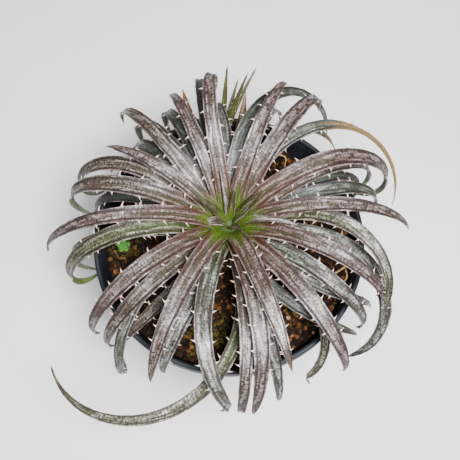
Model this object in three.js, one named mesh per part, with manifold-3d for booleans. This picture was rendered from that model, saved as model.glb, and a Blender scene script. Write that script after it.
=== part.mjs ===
// A dyckia bromeliad in its round nursery pot.
// Millimetres, +Z up.  The origin is the centre of the pot's underside, and the
// plant's growing point stands on the pot's axis.

import * as THREE from "three";
import { mergeVertices } from "three/addons/utils/BufferGeometryUtils.js";
import Module from "manifold-3d";

const wasm = await Module();
wasm.setup();

// ---------------------------------------------------------------- driving dimensions

const GAP = 0.3; // clearance between two pieces that touch
const POT = {
  height: 120,
  lipRadius: 75, // the rolled lip's outside at the rim
  lipDepth: 13,
  lipInnerRadius: 72,
  lipSlope: 0.6, // how much narrower the lip is at its foot
  rimRound: 1.5,
  wallTopRadius: 72.4,
  baseRadius: 54,
  footChamfer: 4,
  wall: 2,
  floor: 3,
  sides: 48,
};
const DRAIN = { count: 6, width: 9, depth: 6, inward: 10 }; // notches round the pot's foot
const SOIL = { level: 104, bump: 1.1, rings: 8, sides: 36, shoulder: 3, edge: 0.6, seed: 41 };
const CROWN = { height: 136, stemRadius: 10, wellDepth: 12, baseStart: 4, sides: 14 };
const BLADE = {
  midThickness: 2.3, // along the keel, where the blade is widest
  edgeThickness: 0.8,
  tipShare: 0.4, // the keel's thickness at the tip, as a share of the most
  channel: 0.17, // how far the margins stand up, as a share of the width
  tipWidth: 1.1,
  taper: 2.6, // a high figure keeps the blade wide until near its tip
  taperPower: 0.9,
  blunt: 0.5, // the blade ends this far short of its point
};
const SPINE = {
  pitch: 12,
  pitchSpread: 0.16, // the most by which one pitch differs from another, as a share
  root: 2.6,
  length: 2.7,
  hook: 1.1, // how far the point is bent back to the leaf's base
  lift: 0.1, // how far the point stands up, as a share of the leaf's width
  clearOfTip: 9,
  clearOfBase: 5,
};
const KEEL_STEPS = 96; // steps in which a leaf's curve is worked out

// One row for each leaf: its name, then in degrees the azimuth it leaves the stem on and
// how steeply it rises, how far it bends down over its length and how late (an exponent),
// how far it swings sideways and how late, then its length, its width and the height of its
// root above the growing point, in millimetres, and the radius where it comes free.
const LEAVES = [
  ["leaf_01", 186, 60, 145, 1.2, 2, 1.5, 126, 8.5, 3, 15],
  ["leaf_02", 188, 50, 200, 1.3, 50, 2.2, 150, 10.0, -4, 16],
  ["leaf_03", 165, 53, 190, 1.5, 14, 1.5, 135, 10.0, -1, 17],
  ["leaf_04", 149, 50, 195, 1.5, 80, 2.2, 142, 9.0, -5, 18],
  ["leaf_05", 147, 60, 100, 1.1, 5, 1.5, 84, 8.0, 3, 15],
  ["leaf_06", 131, 36, 150, 1.5, 12, 1.5, 110, 10.0, -9.6, 17],
  ["leaf_07", 130, 47, 140, 1.4, 0, 1.5, 126, 8.5, -6.5, 17],
  ["leaf_08", 124.6, 42, 170, 1.5, 13, 1.5, 127, 9.0, -8.5, 18.5],
  ["leaf_09", 113, 58, 130, 1.2, 0, 1.5, 104, 8.0, 1, 15],
  ["leaf_10", 113, 36, 180, 1.8, 12, 1.5, 128, 8.0, -14, 17],
  ["leaf_11", 104, 44, 140, 1.6, -12, 1.5, 124, 8.0, -7.7, 17],
  ["leaf_12", 102, 57, 200, 1.8, -70, 3.5, 128, 7.6, 3, 15],
  ["leaf_13", 90.5, 41, 140, 1.4, 30, 2.0, 113, 8.0, -10, 18],
  ["leaf_14", 87, 46.5, 130, 1.0, -150, 1.9, 151, 8.0, -2.6, 18],
  ["leaf_15", 71, 60, 130, 1.5, -8, 1.5, 104, 8.0, 2, 15],
  ["leaf_16", 58, 54, 150, 1.5, -8, 1.5, 120, 9.5, -1, 17],
  ["leaf_17", 65, 44, 105, 1.0, -171, 1.7, 155, 7.0, -5, 17],
  ["leaf_18", 32, 58, 200, 1.2, -70, 1.8, 160, 10.0, 1.2, 16],
  ["leaf_19", 30, 46, 175, 1.4, -18, 1.5, 134, 7.5, -6, 17],
  ["leaf_20", 21, 41, 150, 1.5, -20, 1.5, 118, 8.5, -9, 18],
  ["leaf_21", 2, 60, 132, 1.1, -6, 1.5, 117, 8.5, 3, 16],
  ["leaf_22", 5, 53, 126, 1.15, -120, 1.9, 129, 8.5, -3, 16],
  ["leaf_23", 350, 66, 65, 1.0, -14, 1.5, 40, 4.5, 9, 15],
  ["leaf_24", 339, 53, 143, 1.3, -14, 1.5, 117, 9.0, 0, 15],
  ["leaf_25", 0, 28, 111, 1.1, -215, 2.1, 162, 8.5, -12, 18],
  ["leaf_26", 328, 48, 160, 1.4, -8, 1.5, 121, 9.0, -7, 17],
  ["leaf_27", 311.5, 53, 150, 1.4, -8, 1.5, 126, 10.0, -4, 19],
  ["leaf_28", 322, 33, 150, 1.6, -200, 2.8, 133, 6.0, -13, 20],
  ["leaf_29", 291, 60, 115, 1.2, 0, 1.5, 98, 9.5, 3, 15],
  ["leaf_30", 286.8, 57, 148, 1.1, -50, 2.5, 129, 9.5, -1, 17],
  ["leaf_31", 287, 24, 40, 1.0, -178, 1.45, 186, 7.0, -16, 22],
  ["leaf_32", 282, 42, 188, 1.6, -35, 1.5, 145, 7.0, -7.5, 17],
  ["leaf_33", 290, 39, 140, 1.3, -10, 1.5, 120, 8.0, -9, 18],
  ["leaf_34", 253, 53, 174, 1.5, 112, 2.5, 144, 9.0, -3.3, 17],
  ["leaf_35", 240.5, 60, 140, 1.1, 10, 1.5, 113, 9.5, 3.3, 15],
  ["leaf_36", 249, 46, 150, 1.4, -15, 1.5, 109, 9.0, -6, 17],
  ["leaf_37", 234, 36, 120, 1.2, -35, 1.5, 107, 7.0, -12, 17],
  ["leaf_38", 215, 54, 165, 1.4, 10, 1.5, 126, 9.5, 0, 16],
  ["leaf_39", 225, 52, 165, 1.4, -6, 1.5, 124, 9.0, -5, 17],
  ["leaf_40", 213, 34, 180, 1.5, 85, 1.5, 149, 6.5, -9, 17],
  ["leaf_41", 75, 37, 131, 1.2, -35, 2.8, 124, 7.0, -13, 18],
  ["leaf_42", 63.7, 47.5, 106, 1.05, -116, 3.0, 102.5, 7.0, -8.2, 18],
  ["leaf_43", 32, 37, 160, 1.5, -30, 1.5, 120, 7.0, -12, 17],
  ["leaf_44", 317, 38, 125, 1.3, 80, 2.0, 112, 7.5, -7.7, 18],
  ["leaf_45", 297, 34, 113, 1.4, 85, 1.5, 110, 7.0, -14, 21],
  ["leaf_46", 184, 36, 180, 1.5, 5, 1.5, 138, 7.0, -12, 17],
  ["leaf_47", 160, 40, 150, 1.4, 22, 1.5, 108, 8.0, -9, 17],
  ["leaf_48", 146, 38, 115, 1.4, 5, 1.5, 95, 7.0, -12.8, 17],
].map(leafOf);

// The solid heart under the leaf bases: radii, and heights from the growing point.
const HEART = [
  [11, -16],
  [13.4, -8],
  [12.6, 2],
  [9, 8],
  [3, 13],
];

// The youngest leaves, each a golden-angle turn from the last and shorter than it.
const HEART_LEAVES = [0, 1, 2, 3, 4, 5].map((turn) => ({
  azimuth: 20 + turn * 137.5,
  rise: 70 + 3 * turn,
  droop: 30,
  hook: 1.4,
  swing: 10,
  swingHook: 1.5,
  length: 34 - 3 * turn,
  width: 5.2 - 0.4 * turn,
  level: 4,
}));

// Two dead leaves, dried out under the living ones; the same figures as above.
const DRY_LEAVES = [
  ["dry_leaf_1", 108.1, 10, 8, 1.2, -4, 1.5, 94, 8.5, -24, 21],
  ["dry_leaf_2", 84.5, 10, 2, 1.2, -2, 1.5, 88, 8.5, -25, 21],
].map(leafOf);

// A small offset at the back of the pot: its foot, and the fan of thin leaves it sends up.
const PUP = { x: -4.5, y: 63, depth: 8, neck: 109, footRadius: 4.2, neckRadius: 3, bladeThickness: 1.5 };
const PUP_LEAVES = [
  [82, 70, 20, 52, 3.2],
  [58, 68, 28, 49, 3.0],
  [57, 62, 42, 51, 2.8],
  [70, 60, 30, 41, 2.8],
  [112, 66, 25, 24, 2.8],
  [150, 58, 35, 26, 2.6],
  [205, 64, 40, 24, 2.6],
];

// Bits of dried leaf, half sunk in the soil: the radius of each and the points it runs through.
const STRAWS = [
  ["straw_1", 0.8, [54, -19, 105.4], [60, -16, 106.2], [66, -12.5, 107]],
  ["straw_2", 0.6, [66, -14, 105.2], [66, -19, 106.4], [61, -25, 105]],
  ["straw_3", 0.6, [24, 51, 104.8], [27.5, 56.5, 106.8], [33.5, 55.5, 106.6], [33, 49.5, 104.8]],
  ["straw_4", 0.6, [17, 57, 104.8], [20.5, 62.5, 106.6], [25, 60, 106.4], [24.5, 55, 104.8]],
].map(([name, radius, ...through]) => ({ name, radius, through }));

// A weed seedling with round leaves at the edge of the soil.
const SEEDLING = {
  x: -60,
  y: -0.5,
  stemRadius: 0.9,
  height: 5,
  depth: 4,
  leaves: 5,
  leafRadius: 1.9,
  leafShape: [1, 0.85, 0.35],
  reach: 2.2,
  leafDrop: 1.4, // the lowest leaf hangs this far below the stem's top
  leafStep: 0.35,
};

const COLOR = {
  pot: 0x15181c,
  soil: 0x4a2f1c,
  crown: 0x7d8a4a,
  upperLeaf: 0x8a7780,
  lowerLeaf: 0x7f8670,
  dryLeaf: 0xa8703a,
  pup: 0x7c8b3a,
  seedling: 0x6fa03a,
  straw: 0xb08a4a,
};

// ---------------------------------------------------------------- small helpers

const DEG = Math.PI / 180;

function leafOf([name, azimuth, rise, droop, hook, swing, swingHook, length, width, level, free]) {
  return { name, azimuth, rise, droop, hook, swing, swingHook, length, width, level, free };
}

// A repeatable stream of numbers from 0 to 1 for each seed.
function seeded(seed) {
  let state = seed >>> 0;
  return () => {
    state = (Math.imul(state, 1664525) + 1013904223) >>> 0;
    return state / 4294967296;
  };
}

function meshOf(name, geometry, color, roughness) {
  const material = new THREE.MeshStandardMaterial({ color, roughness, metalness: 0 });
  const mesh = new THREE.Mesh(geometry, material);
  mesh.name = name;
  return mesh;
}

function geometryOf(points, faces) {
  const geometry = new THREE.BufferGeometry();
  geometry.setAttribute("position", new THREE.Float32BufferAttribute(points, 3));
  geometry.setIndex(faces);
  return geometry;
}

function mergedOf(geometry) {
  const plain = geometry.clone();
  plain.deleteAttribute("normal");
  plain.deleteAttribute("uv");
  return mergeVertices(plain, 1e-4);
}

function toSolid(geometry) {
  const merged = mergedOf(geometry);
  return new wasm.Manifold(
    new wasm.Mesh({
      numProp: 3,
      vertProperties: new Float32Array(merged.attributes.position.array),
      triVerts: new Uint32Array(merged.index.array),
    }),
  );
}

function toGeometry(solid) {
  const mesh = solid.getMesh();
  return geometryOf(Array.from(mesh.vertProperties), Array.from(mesh.triVerts));
}

// ---------------------------------------------------------------- leaf shape

// Walks along a leaf's keel from its root and keeps each step, so that any distance along
// it can be looked up afterwards.
function keelOf(leaf) {
  const step = leaf.length / KEEL_STEPS;
  const heading = (s) => (leaf.azimuth + leaf.swing * s ** leaf.swingHook) * DEG;
  const slope = (s) => (leaf.rise - leaf.droop * s ** leaf.hook) * DEG;
  const start = heading(0);
  const root = leaf.root ?? { x: 0, y: 0, z: CROWN.height + leaf.level, out: CROWN.baseStart };
  const point = new THREE.Vector3(
    root.x + root.out * Math.cos(start),
    root.y + root.out * Math.sin(start),
    root.z,
  );
  const points = [point.clone()];
  for (let i = 0; i < KEEL_STEPS; i += 1) {
    const s = (i + 0.5) / KEEL_STEPS;
    const flat = Math.cos(slope(s)) * step;
    point.x += flat * Math.cos(heading(s));
    point.y += flat * Math.sin(heading(s));
    point.z += Math.sin(slope(s)) * step;
    points.push(point.clone());
  }
  return { leaf, points, step, heading, slope };
}

// The point, the sideways direction and the upward direction at a distance along a keel.
function frameAt(keel, distance) {
  const at = distance / keel.step;
  const i = Math.min(Math.floor(at), KEEL_STEPS - 1);
  const point = keel.points[i].clone().lerp(keel.points[i + 1], at - i);
  const s = distance / keel.leaf.length;
  const heading = keel.heading(s);
  const side = new THREE.Vector3(-Math.sin(heading), Math.cos(heading), 0);
  const level = new THREE.Vector3(Math.cos(heading), Math.sin(heading), 0);
  const along = level.multiplyScalar(Math.cos(keel.slope(s))).setZ(Math.sin(keel.slope(s)));
  const up = along.clone().cross(side);
  return { point, side, along, up };
}

function widthAt(leaf, distance) {
  const s = Math.min(distance / leaf.length, 1);
  const width = leaf.width * (1 - s ** BLADE.taper) ** BLADE.taperPower;
  return Math.max(width, BLADE.tipWidth);
}

// Six corners round the blade: a shallow channel above, a keel below, and two thin margins.
function sectionAt(keel, distance) {
  const { point, side, along, up } = frameAt(keel, distance);
  const width = widthAt(keel.leaf, distance);
  const share = width / keel.leaf.width;
  const half = width / 2;
  const thickness = keel.leaf.thickness ?? BLADE.midThickness;
  const keelShare = BLADE.tipShare + (1 - BLADE.tipShare) * share;
  const mid = Math.max(thickness * keelShare, BLADE.edgeThickness) / 2;
  const edge = BLADE.edgeThickness / 2;
  const lift = BLADE.channel * width;
  const corner = (b, n) => point.clone().addScaledVector(side, b).addScaledVector(up, n);
  return {
    along,
    side,
    up,
    corners: [
      corner(half, lift + edge),
      corner(0, mid),
      corner(-half, lift + edge),
      corner(-half, lift - edge),
      corner(0, -mid),
      corner(half, lift - edge),
    ],
  };
}

// The distance along the keel where the leaf is this far from the plant's axis.
function distanceAtRadius(keel, radius) {
  const i = keel.points.findIndex((p) => Math.hypot(p.x, p.y) >= radius);
  return i * keel.step;
}

// Where the sections stand along a leaf, with a short stretch for each pair of spines.
function stationsOf(keel, from) {
  const random = seeded(keel.leaf.azimuth * 977 + keel.leaf.length * 13);
  const last = keel.leaf.length - SPINE.clearOfTip;
  const stations = [{ at: from, spined: false }];
  let at = from + SPINE.clearOfBase + 2 * random();
  while (at + SPINE.root < last) {
    const root = SPINE.root * (0.6 + (0.4 * widthAt(keel.leaf, at)) / keel.leaf.width);
    stations.push({ at, spined: true }, { at: at + root, spined: false });
    at += SPINE.pitch * (1 + SPINE.pitchSpread * (random() - 0.5));
  }
  stations.push({ at: keel.leaf.length - BLADE.blunt, spined: false });
  return stations;
}

const SIDES = 6; // corners round a blade
const EDGES = { 5: 1, 2: -1 }; // the sides that are the left and the right margin

// A closed blade between two distances along its keel, with hooked spines on both margins.
function bladeGeometry(keel, stations) {
  const sections = stations.map(({ at }) => sectionAt(keel, at));
  const points = sections.flatMap(({ corners }) => corners);
  const faces = [];
  for (let i = 0; i + 1 < sections.length; i += 1) {
    for (let k = 0; k < SIDES; k += 1) {
      const a = i * SIDES + k;
      const b = i * SIDES + ((k + 1) % SIDES);
      const quad = [a, b, b + SIDES, a + SIDES];
      if (stations[i].spined && k in EDGES) {
        addSpine(points, faces, quad, sections[i], EDGES[k], keel.leaf);
      } else {
        faces.push(quad[0], quad[1], quad[2], quad[0], quad[2], quad[3]);
      }
    }
  }
  const end = (sections.length - 1) * SIDES;
  for (const [a, b, c] of [[1, 2, 3], [1, 3, 4], [1, 4, 5], [1, 5, 0]]) {
    faces.push(c, b, a, end + a, end + b, end + c);
  }
  return geometryOf(points.flatMap((p) => [p.x, p.y, p.z]), faces);
}

// A four-sided spine that stands on one side face of the blade and hooks back to its root.
function addSpine(points, faces, quad, section, sign, leaf) {
  const middle = new THREE.Vector3();
  for (const index of quad) middle.addScaledVector(points[index], 1 / quad.length);
  const root = points[quad[0]].distanceTo(points[quad[3]]);
  const size = root / SPINE.root;
  const tip = middle
    .addScaledVector(section.side, sign * SPINE.length * size)
    .addScaledVector(section.along, -SPINE.hook * size)
    .addScaledVector(section.up, SPINE.lift * leaf.width * size);
  const apex = points.push(tip) - 1;
  for (let k = 0; k < quad.length; k += 1) {
    faces.push(quad[k], quad[(k + 1) % quad.length], apex);
  }
}

function leafMesh(leaf) {
  const keel = keelOf(leaf);
  const from = distanceAtRadius(keel, leaf.free) + GAP;
  return meshOf(leaf.name, bladeGeometry(keel, stationsOf(keel, from)), leafColor(leaf), 0.6);
}

// The upper leaves are flushed purple, the lower ones grey-green.
function leafColor({ name, level }) {
  if (name.startsWith("dry")) return COLOR.dryLeaf;
  return level > -4 ? COLOR.upperLeaf : COLOR.lowerLeaf;
}

// A blade with no spines, cut across at even steps.
function plainBlade(leaf, steps) {
  const keel = keelOf(leaf);
  const stations = [];
  for (let i = 0; i <= steps; i += 1) {
    stations.push({ at: ((leaf.length - BLADE.blunt) * i) / steps, spined: false });
  }
  return bladeGeometry(keel, stations);
}

// ---------------------------------------------------------------- crown

// The short stem and its solid heart, with the leaf bases that are one with them out to
// where each leaf comes free, and the youngest leaves standing in the middle.
function crownMesh() {
  const foot = SOIL.level - CROWN.wellDepth + GAP;
  const heart = HEART.map(([radius, height]) => [radius, CROWN.height + height]);
  const profile = [
    [0, foot],
    [CROWN.stemRadius - 2, foot],
    [CROWN.stemRadius - 1, SOIL.level],
    ...heart,
    [0, heart.at(-1)[1]],
  ];
  let solid = toSolid(latheGeometry(profile, CROWN.sides));
  for (const leaf of [...LEAVES, ...DRY_LEAVES]) {
    const keel = keelOf(leaf);
    const to = distanceAtRadius(keel, leaf.free);
    const stations = [{ at: 0, spined: false }, { at: to, spined: false }];
    solid = solid.add(toSolid(bladeGeometry(keel, stations)));
  }
  for (const leaf of HEART_LEAVES) {
    solid = solid.add(toSolid(plainBlade(leaf, 2)));
  }
  return meshOf("crown", toGeometry(solid), COLOR.crown, 0.6);
}

function latheGeometry(profile, sides) {
  const outline = profile.map(([x, z]) => new THREE.Vector2(x, z));
  const geometry = new THREE.LatheGeometry(outline, sides);
  geometry.rotateX(Math.PI / 2);
  return geometry;
}

// ---------------------------------------------------------------- pot

// The radius of the pot's inner wall at a height above its floor.
function innerRadius(z) {
  const top = POT.height - POT.lipDepth;
  const share = (z - POT.floor) / (top - POT.floor);
  const low = POT.baseRadius - POT.wall;
  return low + (POT.wallTopRadius - POT.wall - low) * share;
}

function potMesh() {
  const lipFoot = POT.height - POT.lipDepth;
  const profile = [
    [0, 0],
    [POT.baseRadius - POT.footChamfer, 0],
    [POT.baseRadius, POT.footChamfer],
    [POT.wallTopRadius, lipFoot - POT.wall],
    [POT.lipRadius - POT.lipSlope, lipFoot],
    [POT.lipRadius, POT.height - POT.rimRound],
    [POT.lipRadius - POT.rimRound / 2, POT.height],
    [POT.lipInnerRadius + POT.rimRound / 2, POT.height],
    [POT.lipInnerRadius, POT.height - POT.rimRound],
    [POT.wallTopRadius - POT.wall, lipFoot - POT.wall],
    [innerRadius(POT.floor), POT.floor],
    [0, POT.floor],
  ];
  let solid = toSolid(latheGeometry(profile, POT.sides));
  for (let i = 0; i < DRAIN.count; i += 1) {
    const notch = new THREE.BoxGeometry(2 * DRAIN.inward, DRAIN.width, 2 * DRAIN.depth);
    notch.translate(POT.baseRadius, 0, 0);
    notch.rotateZ(((i + 0.5) / DRAIN.count) * 2 * Math.PI);
    solid = solid.subtract(toSolid(notch));
  }
  return meshOf("pot", toGeometry(solid), COLOR.pot, 0.45);
}

// ---------------------------------------------------------------- soil

// The potting mix fills the pot to its level.  Its top is uneven, with a plain hole for
// each stem and a groove for each straw.
function soilMesh() {
  const random = seeded(SOIL.seed);
  const profile = [[0, POT.floor + GAP]];
  for (const z of [POT.floor + GAP, SOIL.level - SOIL.shoulder]) {
    profile.push([innerRadius(z) - GAP, z]);
  }
  const topRadius = innerRadius(SOIL.level) - GAP - SOIL.edge;
  for (let ring = SOIL.rings; ring >= 0; ring -= 1) {
    profile.push([(topRadius * ring) / SOIL.rings, SOIL.level]);
  }
  const geometry = latheGeometry(profile, SOIL.sides);
  const merged = mergedOf(geometry);
  const position = merged.attributes.position;
  for (let i = 0; i < position.count; i += 1) {
    if (position.getZ(i) > SOIL.level - SOIL.shoulder / 2) {
      position.setZ(i, SOIL.level + SOIL.bump * (2 * random() - 1));
    }
  }
  let solid = toSolid(merged);
  const wells = [
    [0, 0, CROWN.stemRadius, CROWN.wellDepth],
    [PUP.x, PUP.y, PUP.footRadius + GAP, PUP.depth],
    [SEEDLING.x, SEEDLING.y, SEEDLING.stemRadius + GAP, SEEDLING.depth],
  ];
  for (const [x, y, radius, depth] of wells) {
    const well = new THREE.CylinderGeometry(radius, radius, 2 * depth, 12);
    well.rotateX(Math.PI / 2);
    well.translate(x, y, SOIL.level);
    solid = solid.subtract(toSolid(well));
  }
  for (const { through, radius } of STRAWS) {
    solid = solid.subtract(toSolid(rodGeometry(through, radius + GAP)));
  }
  return meshOf("soil", toGeometry(solid), COLOR.soil, 0.95);
}

// ---------------------------------------------------------------- offset, litter and seedling

// A five-sided rod along a smooth curve.
function rodGeometry(through, radius) {
  const path = new THREE.CatmullRomCurve3(through.map(([x, y, z]) => new THREE.Vector3(x, y, z)));
  const corners = [0, 1, 2, 3, 4].map((k) => {
    const turn = (2 * Math.PI * k) / 5;
    return new THREE.Vector2(radius * Math.cos(turn), radius * Math.sin(turn));
  });
  const steps = 3 * (through.length - 1);
  const settings = { steps, extrudePath: path, bevelEnabled: false };
  return new THREE.ExtrudeGeometry(new THREE.Shape(corners), settings);
}

function pupMesh() {
  const foot = SOIL.level - PUP.depth + GAP;
  const profile = [
    [0, foot],
    [PUP.footRadius - 1, foot],
    [PUP.footRadius, SOIL.level],
    [PUP.neckRadius, PUP.neck + 2],
    [0, PUP.neck + 4],
  ];
  const core = latheGeometry(profile, 10);
  core.translate(PUP.x, PUP.y, 0);
  let solid = toSolid(core);
  for (const [azimuth, rise, droop, length, width] of PUP_LEAVES) {
    const leaf = { azimuth, rise, droop, hook: 1.3, swing: 0, swingHook: 1, length, width };
    leaf.thickness = PUP.bladeThickness;
    leaf.root = { x: PUP.x, y: PUP.y, z: PUP.neck, out: PUP.neckRadius / 2 };
    solid = solid.add(toSolid(plainBlade(leaf, 3)));
  }
  return meshOf("pup", toGeometry(solid), COLOR.pup, 0.6);
}

function seedlingMesh() {
  const { x, y, stemRadius, height, depth } = SEEDLING;
  const stem = new THREE.CylinderGeometry(stemRadius * 0.8, stemRadius, height + depth - GAP, 6);
  stem.rotateX(Math.PI / 2);
  stem.translate(x, y, SOIL.level + (height - depth + GAP) / 2);
  let solid = toSolid(stem);
  for (let i = 0; i < SEEDLING.leaves; i += 1) {
    const leaf = new THREE.SphereGeometry(SEEDLING.leafRadius, 5, 3);
    leaf.scale(...SEEDLING.leafShape);
    const drop = SEEDLING.leafDrop - SEEDLING.leafStep * (i % 3);
    leaf.translate(SEEDLING.reach, 0, SOIL.level + height - drop);
    leaf.rotateZ((2 * Math.PI * (i + 0.3)) / SEEDLING.leaves);
    leaf.translate(x, y, 0);
    solid = solid.add(toSolid(leaf));
  }
  return meshOf("seedling", toGeometry(solid), COLOR.seedling, 0.5);
}

// ---------------------------------------------------------------- the whole plant

const plant = new THREE.Group();
plant.add(potMesh(), soilMesh(), crownMesh(), pupMesh(), seedlingMesh());
for (const leaf of [...LEAVES, ...DRY_LEAVES]) {
  plant.add(leafMesh(leaf));
}
for (const { name, through, radius } of STRAWS) {
  plant.add(meshOf(name, rodGeometry(through, radius), COLOR.straw, 0.8));
}

export default plant;
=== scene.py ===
"""A dyckia bromeliad in its round nursery pot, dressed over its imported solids.

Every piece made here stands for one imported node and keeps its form.  Shapes are worked out in
millimetres as whole numpy arrays, and become metres when they are put into a mesh.
"""

import logging
from dataclasses import dataclass, field
from enum import Enum

import bpy
import numpy as np
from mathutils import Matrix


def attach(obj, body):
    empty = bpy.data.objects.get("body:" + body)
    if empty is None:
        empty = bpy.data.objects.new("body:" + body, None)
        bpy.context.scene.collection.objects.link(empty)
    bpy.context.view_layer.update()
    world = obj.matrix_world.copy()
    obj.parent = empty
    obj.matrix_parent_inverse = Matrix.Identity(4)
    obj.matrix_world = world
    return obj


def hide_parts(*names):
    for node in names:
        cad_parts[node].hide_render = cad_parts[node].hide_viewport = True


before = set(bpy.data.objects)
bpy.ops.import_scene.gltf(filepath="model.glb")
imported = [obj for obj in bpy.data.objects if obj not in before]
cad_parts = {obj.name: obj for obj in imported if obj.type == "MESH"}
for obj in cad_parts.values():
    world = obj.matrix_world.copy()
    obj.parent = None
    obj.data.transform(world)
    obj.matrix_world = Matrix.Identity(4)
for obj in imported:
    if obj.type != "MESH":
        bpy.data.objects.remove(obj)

MM = 0.001
SKIN = "skin"  # the name of a surface's own coordinates
GROWING_POINT = 136.0  # its height above the pot's foot
SOIL_LEVEL = 104.0
LEAF_START = 4.0  # how far from the axis a grown leaf's curve starts
log = logging.getLogger("dyckia")

Array = np.ndarray
Colour = tuple[float, float, float, float]
Place = tuple[float, float, float]
Socket = bpy.types.NodeSocket


# ------------------------------------------------------------------ numbers and arrays


def linear(code: str) -> Colour:
    """Turns a web colour such as #8a7780 into the linear values that a shader takes."""
    raw = np.array([int(code[i : i + 2], 16) for i in (1, 3, 5)]) / 255
    light = np.where(raw <= 0.04045, raw / 12.92, ((raw + 0.055) / 1.055) ** 2.4)
    return (*map(float, light), 1.0)


def ramp(value: Array, low: float, high: float) -> Array:
    """Rises smoothly from 0 at low to 1 at high, as 3t^2 - 2t^3."""
    t = np.clip((value - low) / (high - low), 0.0, 1.0)
    return t * t * (3 - 2 * t)


def stacked(*parts: Array | float) -> Array:
    """Spreads values to one shape and sets them side by side along a new last axis."""
    return np.stack(np.broadcast_arrays(*parts), axis=-1)


def unit(vectors: Array) -> Array:
    """Scales vectors to length 1."""
    return vectors / np.linalg.norm(vectors, axis=-1, keepdims=True)


def turns(count: int) -> Array:
    """Gives the angles that share out one full turn evenly."""
    return np.linspace(0, 2 * np.pi, count, endpoint=False)


def turned(x: Array, y: Array, z: Array, angle: Array | float) -> Array:
    """Turns places about the upright axis, and sets their coordinates side by side."""
    return stacked(x * np.cos(angle) - y * np.sin(angle), x * np.sin(angle) + y * np.cos(angle), z)


def run_of(path: Array) -> Array:
    """Gives how far along a path each of its points lies."""
    return np.concatenate([[0.0], np.cumsum(np.linalg.norm(np.diff(path, axis=0), axis=1))])


def waves(points: Array, seed: int, length: float) -> Array:
    """Gives a smooth, even field over a plane, as the mean of five sine waves.

    Args:
        points: Places as an array of (n, 2).
        seed: Chooses the waves' directions and phases.
        length: The waves' usual length, in the points' unit.

    Returns:
        One value from -1 to 1 for each place.
    """
    draw = np.random.default_rng(seed)
    turn = draw.uniform(0, 2 * np.pi, 5)
    pace = 2 * np.pi / (length * draw.uniform(0.6, 1.4, 5))
    heading = np.stack([np.cos(turn), np.sin(turn)]) * pace
    return np.sin(points @ heading + draw.uniform(0, 2 * np.pi, 5)).mean(axis=1)


# ------------------------------------------------------------------ surfaces


@dataclass
class Surface:
    """A closed shape in millimetres, with the values that its finish reads."""

    points: Array  # vertices as (n, 3)
    quads: Array  # four-sided faces as (m, 4)
    tris: Array  # three-sided faces as (k, 3)
    uv: Array  # the skin's own coordinates in centimetres, as (n, 2)
    marks: dict[str, Array] = field(default_factory=dict)  # named values, one for each vertex
    coat: int | Array = 0  # which of the piece's finishes these faces wear, by its place in the list

    def coats(self) -> Array:
        """One finish number for each face, the quads first."""
        return np.broadcast_to(self.coat, (len(self.quads) + len(self.tris),))


NO_QUADS = np.zeros((0, 4), int)
NO_TRIS = np.zeros((0, 3), int)


def join(surfaces: list[Surface]) -> Surface:
    """Puts several surfaces into one, in order; a mark that one of them lacks is 0 there."""
    starts = np.cumsum([0] + [len(s.points) for s in surfaces])
    names = sorted({name for s in surfaces for name in s.marks})
    fours, threes = zip(*(np.split(s.coats(), [len(s.quads)]) for s in surfaces))
    return Surface(
        np.concatenate([s.points for s in surfaces]),
        np.concatenate([s.quads + start for s, start in zip(surfaces, starts)]),
        np.concatenate([s.tris + start for s, start in zip(surfaces, starts)]),
        np.concatenate([s.uv for s in surfaces]),
        {n: np.concatenate([s.marks.get(n, np.zeros(len(s.points))) for s in surfaces]) for n in names},
        np.concatenate(fours + threes),
    )


def bands(levels: int, around: int) -> tuple[Array, Array, Array]:
    """Numbers a stack of rings: its vertices, the next one round from each, and its quads."""
    index = np.arange(levels * around).reshape(levels, around)
    on = np.roll(index, -1, axis=1)
    return index, on, stacked(index[:-1], on[:-1], on[1:], index[1:]).reshape(-1, 4)


def repeated(faces: Array, each: int, count: int) -> Array:
    """Numbers the faces of count like shapes that follow each other, with each points apiece."""
    return (faces[None] + each * np.arange(count)[:, None, None]).reshape(-1, faces.shape[1])


def tube(
    rings: Array, uv: Array, marks: dict[str, Array] | None = None, ends: Array | None = None, coat: int = 0
) -> Surface:
    """Closes a stack of rings into a skin, with a fan to one point at each end.

    Args:
        rings: Vertices as (rings, around, 3), each ring turning right-handed about the way on.
        uv: Skin coordinates as (rings, around, 2).
        marks: Values that spread to (rings, around).
        ends: The two end points; the middles of the end rings if left out.
        coat: The finish's place in the piece's list.

    Returns:
        The closed surface.
    """
    count, around, _ = rings.shape
    index, on, quads = bands(count, around)
    low = count * around
    tris = np.concatenate([stacked(on[0], index[0], low), stacked(index[-1], on[-1], low + 1)])

    def with_ends(grid: Array) -> Array:
        """Lays a grid out as a list and adds the mean of its first and last rows."""
        both = grid[[0, -1]].reshape(2, around, -1).mean(axis=1)
        return np.concatenate([grid.reshape(low, -1), both]).squeeze()

    points = with_ends(rings)
    if ends is not None:
        points[low:] = ends
    spread = {n: with_ends(np.broadcast_to(mark, (count, around))) for n, mark in (marks or {}).items()}
    return Surface(points, quads, tris, with_ends(uv), spread, coat)


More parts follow.
